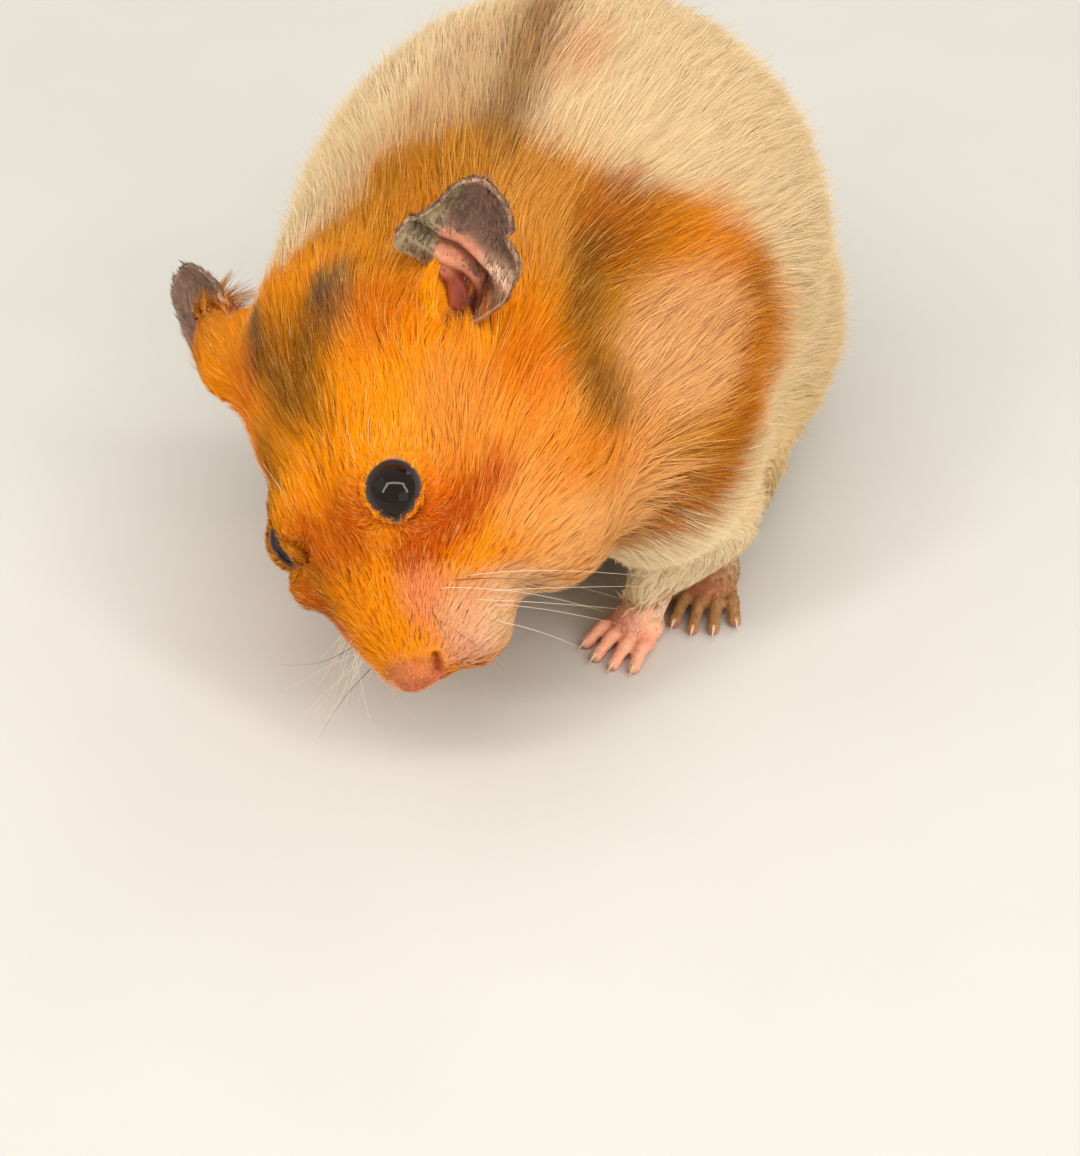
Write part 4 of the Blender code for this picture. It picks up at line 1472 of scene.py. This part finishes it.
def claws(node, finish):
    """The foot's claws."""
    place, digits, palm = paw_parts(node)
    shape = bmesh.new()
    for offset, splay, reach in digits:
        (*_, pad), ahead = digit_stations(offset, splay, reach, palm[0])
        absorb(shape, claw(place, pad, ahead))
    bmesh.ops.recalc_face_normals(shape, faces=shape.faces[:])
    finish_piece(to_object("claws_" + node, shape), finish)


# ---------------------------------------------------------------- whiskers

WHISKERS_END = NOSE_TIP[1] - 1.5  # forward of this y the whiskers bend down
WHISKER_SHARE_AHEAD = 0.3  # how much of their reach past it is left
WHISKER_RUNGS, WHISKER_SIDES = 8, 3
WHISKER_LOWEST = 0.6
WHISKER_SAG = (0, 0.08, -0.16)  # back and down, as shares of the length
DARK_RADIUS, PALE_RADIUS, TIP_RADIUS = 0.042, 0.03, 0.008
# Whiskers of both pads, in the head's frame: root, way and length, and whether it is dark on the left.
WHISKERS = (
    ((-6.7, 7.0, 3.5), (1.6, 15.5, -9), 16, False),
    ((-7.6, 7.8, 2.4), (0.6, 12, -7), 17, True),
    ((-5.5, 7.1, 1.6), (0.7, 1.6, -4), 6.5, True),
    ((-4.3, 5.8, 2.1), (2.1, 1.4, -4), 7.5, True),
    ((-5.5, 6.0, 3.4), (6.7, 1.8, -3), 8, True),
    ((-4.2, 4.5, 3.3), (4.7, 1.0, 0.6), 5.5, True),
    ((-5.1, 4.7, 4.2), (3.9, 0.9, 2.2), 5.5, True),
    ((-6.3, 8.8, -2.9), (2.2, 9, -3), 10, False),
    ((-6.2, 8.4, -0.6), (2.2, 10, -5), 13, False),
    ((-7.4, 8.5, -1.6), (1.2, 9, -4), 15, False),
    ((-8.2, 8.8, 0.8), (0.4, 12, -6), 16, False),
    ((-5.0, 7.4, -3.2), (2, 6, -5), 9, False),
    ((-18.0, 5.0, 10.5), (-0.8, 0.3, 0.5), 5, False),
    ((-19.5, 6.5, 10.4), (-0.9, 0.4, 0.4), 5, False),
)
FAR_WHISKERS = 10  # more on the right pad, fanning down


def whisker_rows(dice):
    """Root, way, length and darkness of every whisker, in the head's frame."""
    rows = []
    for side in SIDES:
        for root, way, length, dark in WHISKERS:
            length *= dice.uniform(0.9, 1.1)
            rows.append((mirrored(root, side), mirrored(way, side), length, dark and side == 1))
    for number in range(FAR_WHISKERS):
        share = number / (FAR_WHISKERS - 1)
        root = (-4.4 - 2.6 * share, -5.6 - 1.8 * share, 3.0 - 4.2 * (number % 3) / 2)
        way = (2.6 - 3.2 * share, -6.0, -3.0 + 1.5 * (number % 3))
        rows.append((root, way, 12 + 5 * share, number % 5 == 2))
    return rows


def bristle(root, way, length, dark, bend):
    """One whisker's corners, with their normals and colours: thin rings along a drooping line."""
    side = np.cross(way, UP)
    side /= np.linalg.norm(side)
    top = np.cross(side, way)
    pale = np.array(linear("#f2e0c0"))
    rows = []
    for rung in range(WHISKER_RUNGS + 1):
        s = rung / WHISKER_RUNGS
        spot = root + way * length * s + (bend + WHISKER_SAG) * length * s * s
        spot[2] = max(spot[2], WHISKER_LOWEST)
        spot[1] = max(spot[1], WHISKERS_END + WHISKER_SHARE_AHEAD * (spot[1] - WHISKERS_END))
        radius = (DARK_RADIUS if dark else PALE_RADIUS) * (1 - s) ** 0.8 + TIP_RADIUS
        tone = mix(np.array(linear("#4a2a12")), pale, s * 0.5) if dark else pale
        for corner in range(WHISKER_SIDES):
            turn = corner * 2 * math.pi / WHISKER_SIDES
            out = side * math.cos(turn) + top * math.sin(turn)
            rows.append((spot + out * radius, out, tone))
    return rows


def bristle_faces():
    """The faces between the rings of one whisker, and its ends."""
    around = WHISKER_SIDES
    faces = []
    for first in range(0, WHISKER_RUNGS * around, around):
        for corner in range(around):
            a, b = first + corner, first + (corner + 1) % around
            faces += [(a, b + around, b), (a, a + around, b + around)]
    last = WHISKER_RUNGS * around
    return [*faces, (0, 1, 2), (last, last + 2, last + 1)]


def whiskers(skin, finish):
    """Tapering bristles that fan out from the pads, with a few over the eyes."""
    surface, _, tree = surface_of(skin)
    dice = np.random.default_rng(7)
    roots, ways, lengths, dark = zip(*whisker_rows(dice))
    roots = surface[near(tree, from_head(roots))]
    ways = directed(unit(np.array(ways)))
    bends = dice.normal(0, 0.12, (len(roots), 3))
    rows = [row for one in zip(roots, ways, lengths, dark, bends) for row in bristle(*one)]
    corners, facing, tints = (np.array(part) for part in zip(*rows))
    mesh_piece("whiskers", corners, repeated(bristle_faces(), len(roots)), facing, tints, finish)


# ---------------------------------------------------------------- light, floor and camera

FOCAL, SENSOR = 78.48, 36.0
CAMERA_TURN, CAMERA_RISE, CAMERA_DISTANCE = 20, 42, 240
AIM_FROM_EYE = (13.51, 2.35, -8.74)  # what the camera aims at, from the left eye's middle
LIT_SPOT = Vector((0, 0, 0.02))  # in metres
SKY_STRENGTH = 0.76
FLOOR_HALF = 1.5  # metres
# A window of three strips round the camera: name, degrees across and above its line, size in metres, watts.
WINDOW = (
    ("window_top", 0, 27, (0.6, 0.06), 1.15),
    ("window_left", -36, 8, (0.06, 0.26), 0.5),
    ("window_right", 36, 8, (0.06, 0.26), 0.5),
)
WINDOW_AWAY = 0.5
# The other lights: name, place and size in metres, watts.
LIGHTS = (
    ("fill", (0.85, -0.7, 0.3), (0.7, 0.7), 1.25),
    ("far_fill", (-0.8, -0.4, 0.6), (0.7, 0.7), 0.75),
    ("rim", (0.2, 0.9, 0.8), (0.6, 0.4), 1.6),
)


def towards_camera():
    turn, rise = math.radians(CAMERA_TURN), math.radians(CAMERA_RISE)
    return Vector((math.sin(turn) * math.cos(rise), -math.cos(turn) * math.cos(rise), math.sin(rise)))


def make_camera():
    back = towards_camera()
    data = bpy.data.cameras.new("camera")
    data.lens, data.sensor_width, data.sensor_fit = FOCAL, SENSOR, "AUTO"
    data.clip_start, data.clip_end = 0.01, 10
    camera = link("camera", data)
    camera.location = vec(eye_middle(1) + Vector(AIM_FROM_EYE) + back * CAMERA_DISTANCE)
    camera.rotation_euler = (-back).to_track_quat("-Z", "Y").to_euler()
    bpy.context.scene.camera = camera


def softbox(name, spot, size, power):
    """A rectangular white light that faces the animal."""
    data = bpy.data.lights.new(name, "AREA")
    data.shape, data.size, data.size_y, data.energy = "RECTANGLE", size[0], size[1], power
    lamp = link(name, data)
    lamp.location = spot
    lamp.rotation_euler = (LIT_SPOT - Vector(spot)).to_track_quat("-Z", "Y").to_euler()


def seen_from_camera(across, above):
    """A place that many degrees across and above the line from the animal to the camera."""
    back = towards_camera()
    right = UP.cross(back).normalized()
    level = back * math.cos(math.radians(across)) + right * math.sin(math.radians(across))
    way = level * math.cos(math.radians(above)) + back.cross(right) * math.sin(math.radians(above))
    return tuple(way * WINDOW_AWAY)


def studio():
    """The floor, a pale sky and the lights."""
    shape = bmesh.new()
    bmesh.ops.create_grid(shape, x_segments=8, y_segments=8, size=FLOOR_HALF)
    floor = to_object("floor", shape)
    floor.data.materials.append(floor_finish())
    world = bpy.data.worlds.new("studio")
    bpy.context.scene.world = world
    world.use_nodes = True
    sky = world.node_tree.nodes["Background"]
    sky.inputs["Color"].default_value = (*linear("#f4f1ea"), 1)
    sky.inputs["Strength"].default_value = SKY_STRENGTH
    for name, across, above, size, power in WINDOW:
        softbox(name, seen_from_camera(across, above), size, power)
    for light in LIGHTS:
        softbox(*light)
    bpy.context.scene.view_settings.view_transform = "Standard"


def build():
    make_camera()
    skin = body_skin()
    paint(skin, skin_colours(vertices_of(skin)[0]))
    fur = fur_finish()
    paws = paw(FEET[0])
    join(paws, [paw(node) for node in FEET[1:]])
    grow_sparse_coat(paws, PAW_COAT, fur, PAW_HABIT)
    grow_whole_coat(skin, paws, fur)
    horn = claw_finish()
    for node in FEET:
        claws(node, horn)
    whiskers(skin, fur)
    ears = ear(1)
    join(ears, [ear(-1)])
    grow_sparse_coat(ears, EAR_COAT, fur, EAR_HABIT)
    join(skin, [ears, paws, *map(lids, SIDES)])
    finish_piece(skin, skin_finish())
    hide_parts(*FLESH, *BARE)
    wet = eye_finish()
    for side in SIDES:
        eyeball(side, wet)
    studio()


build()
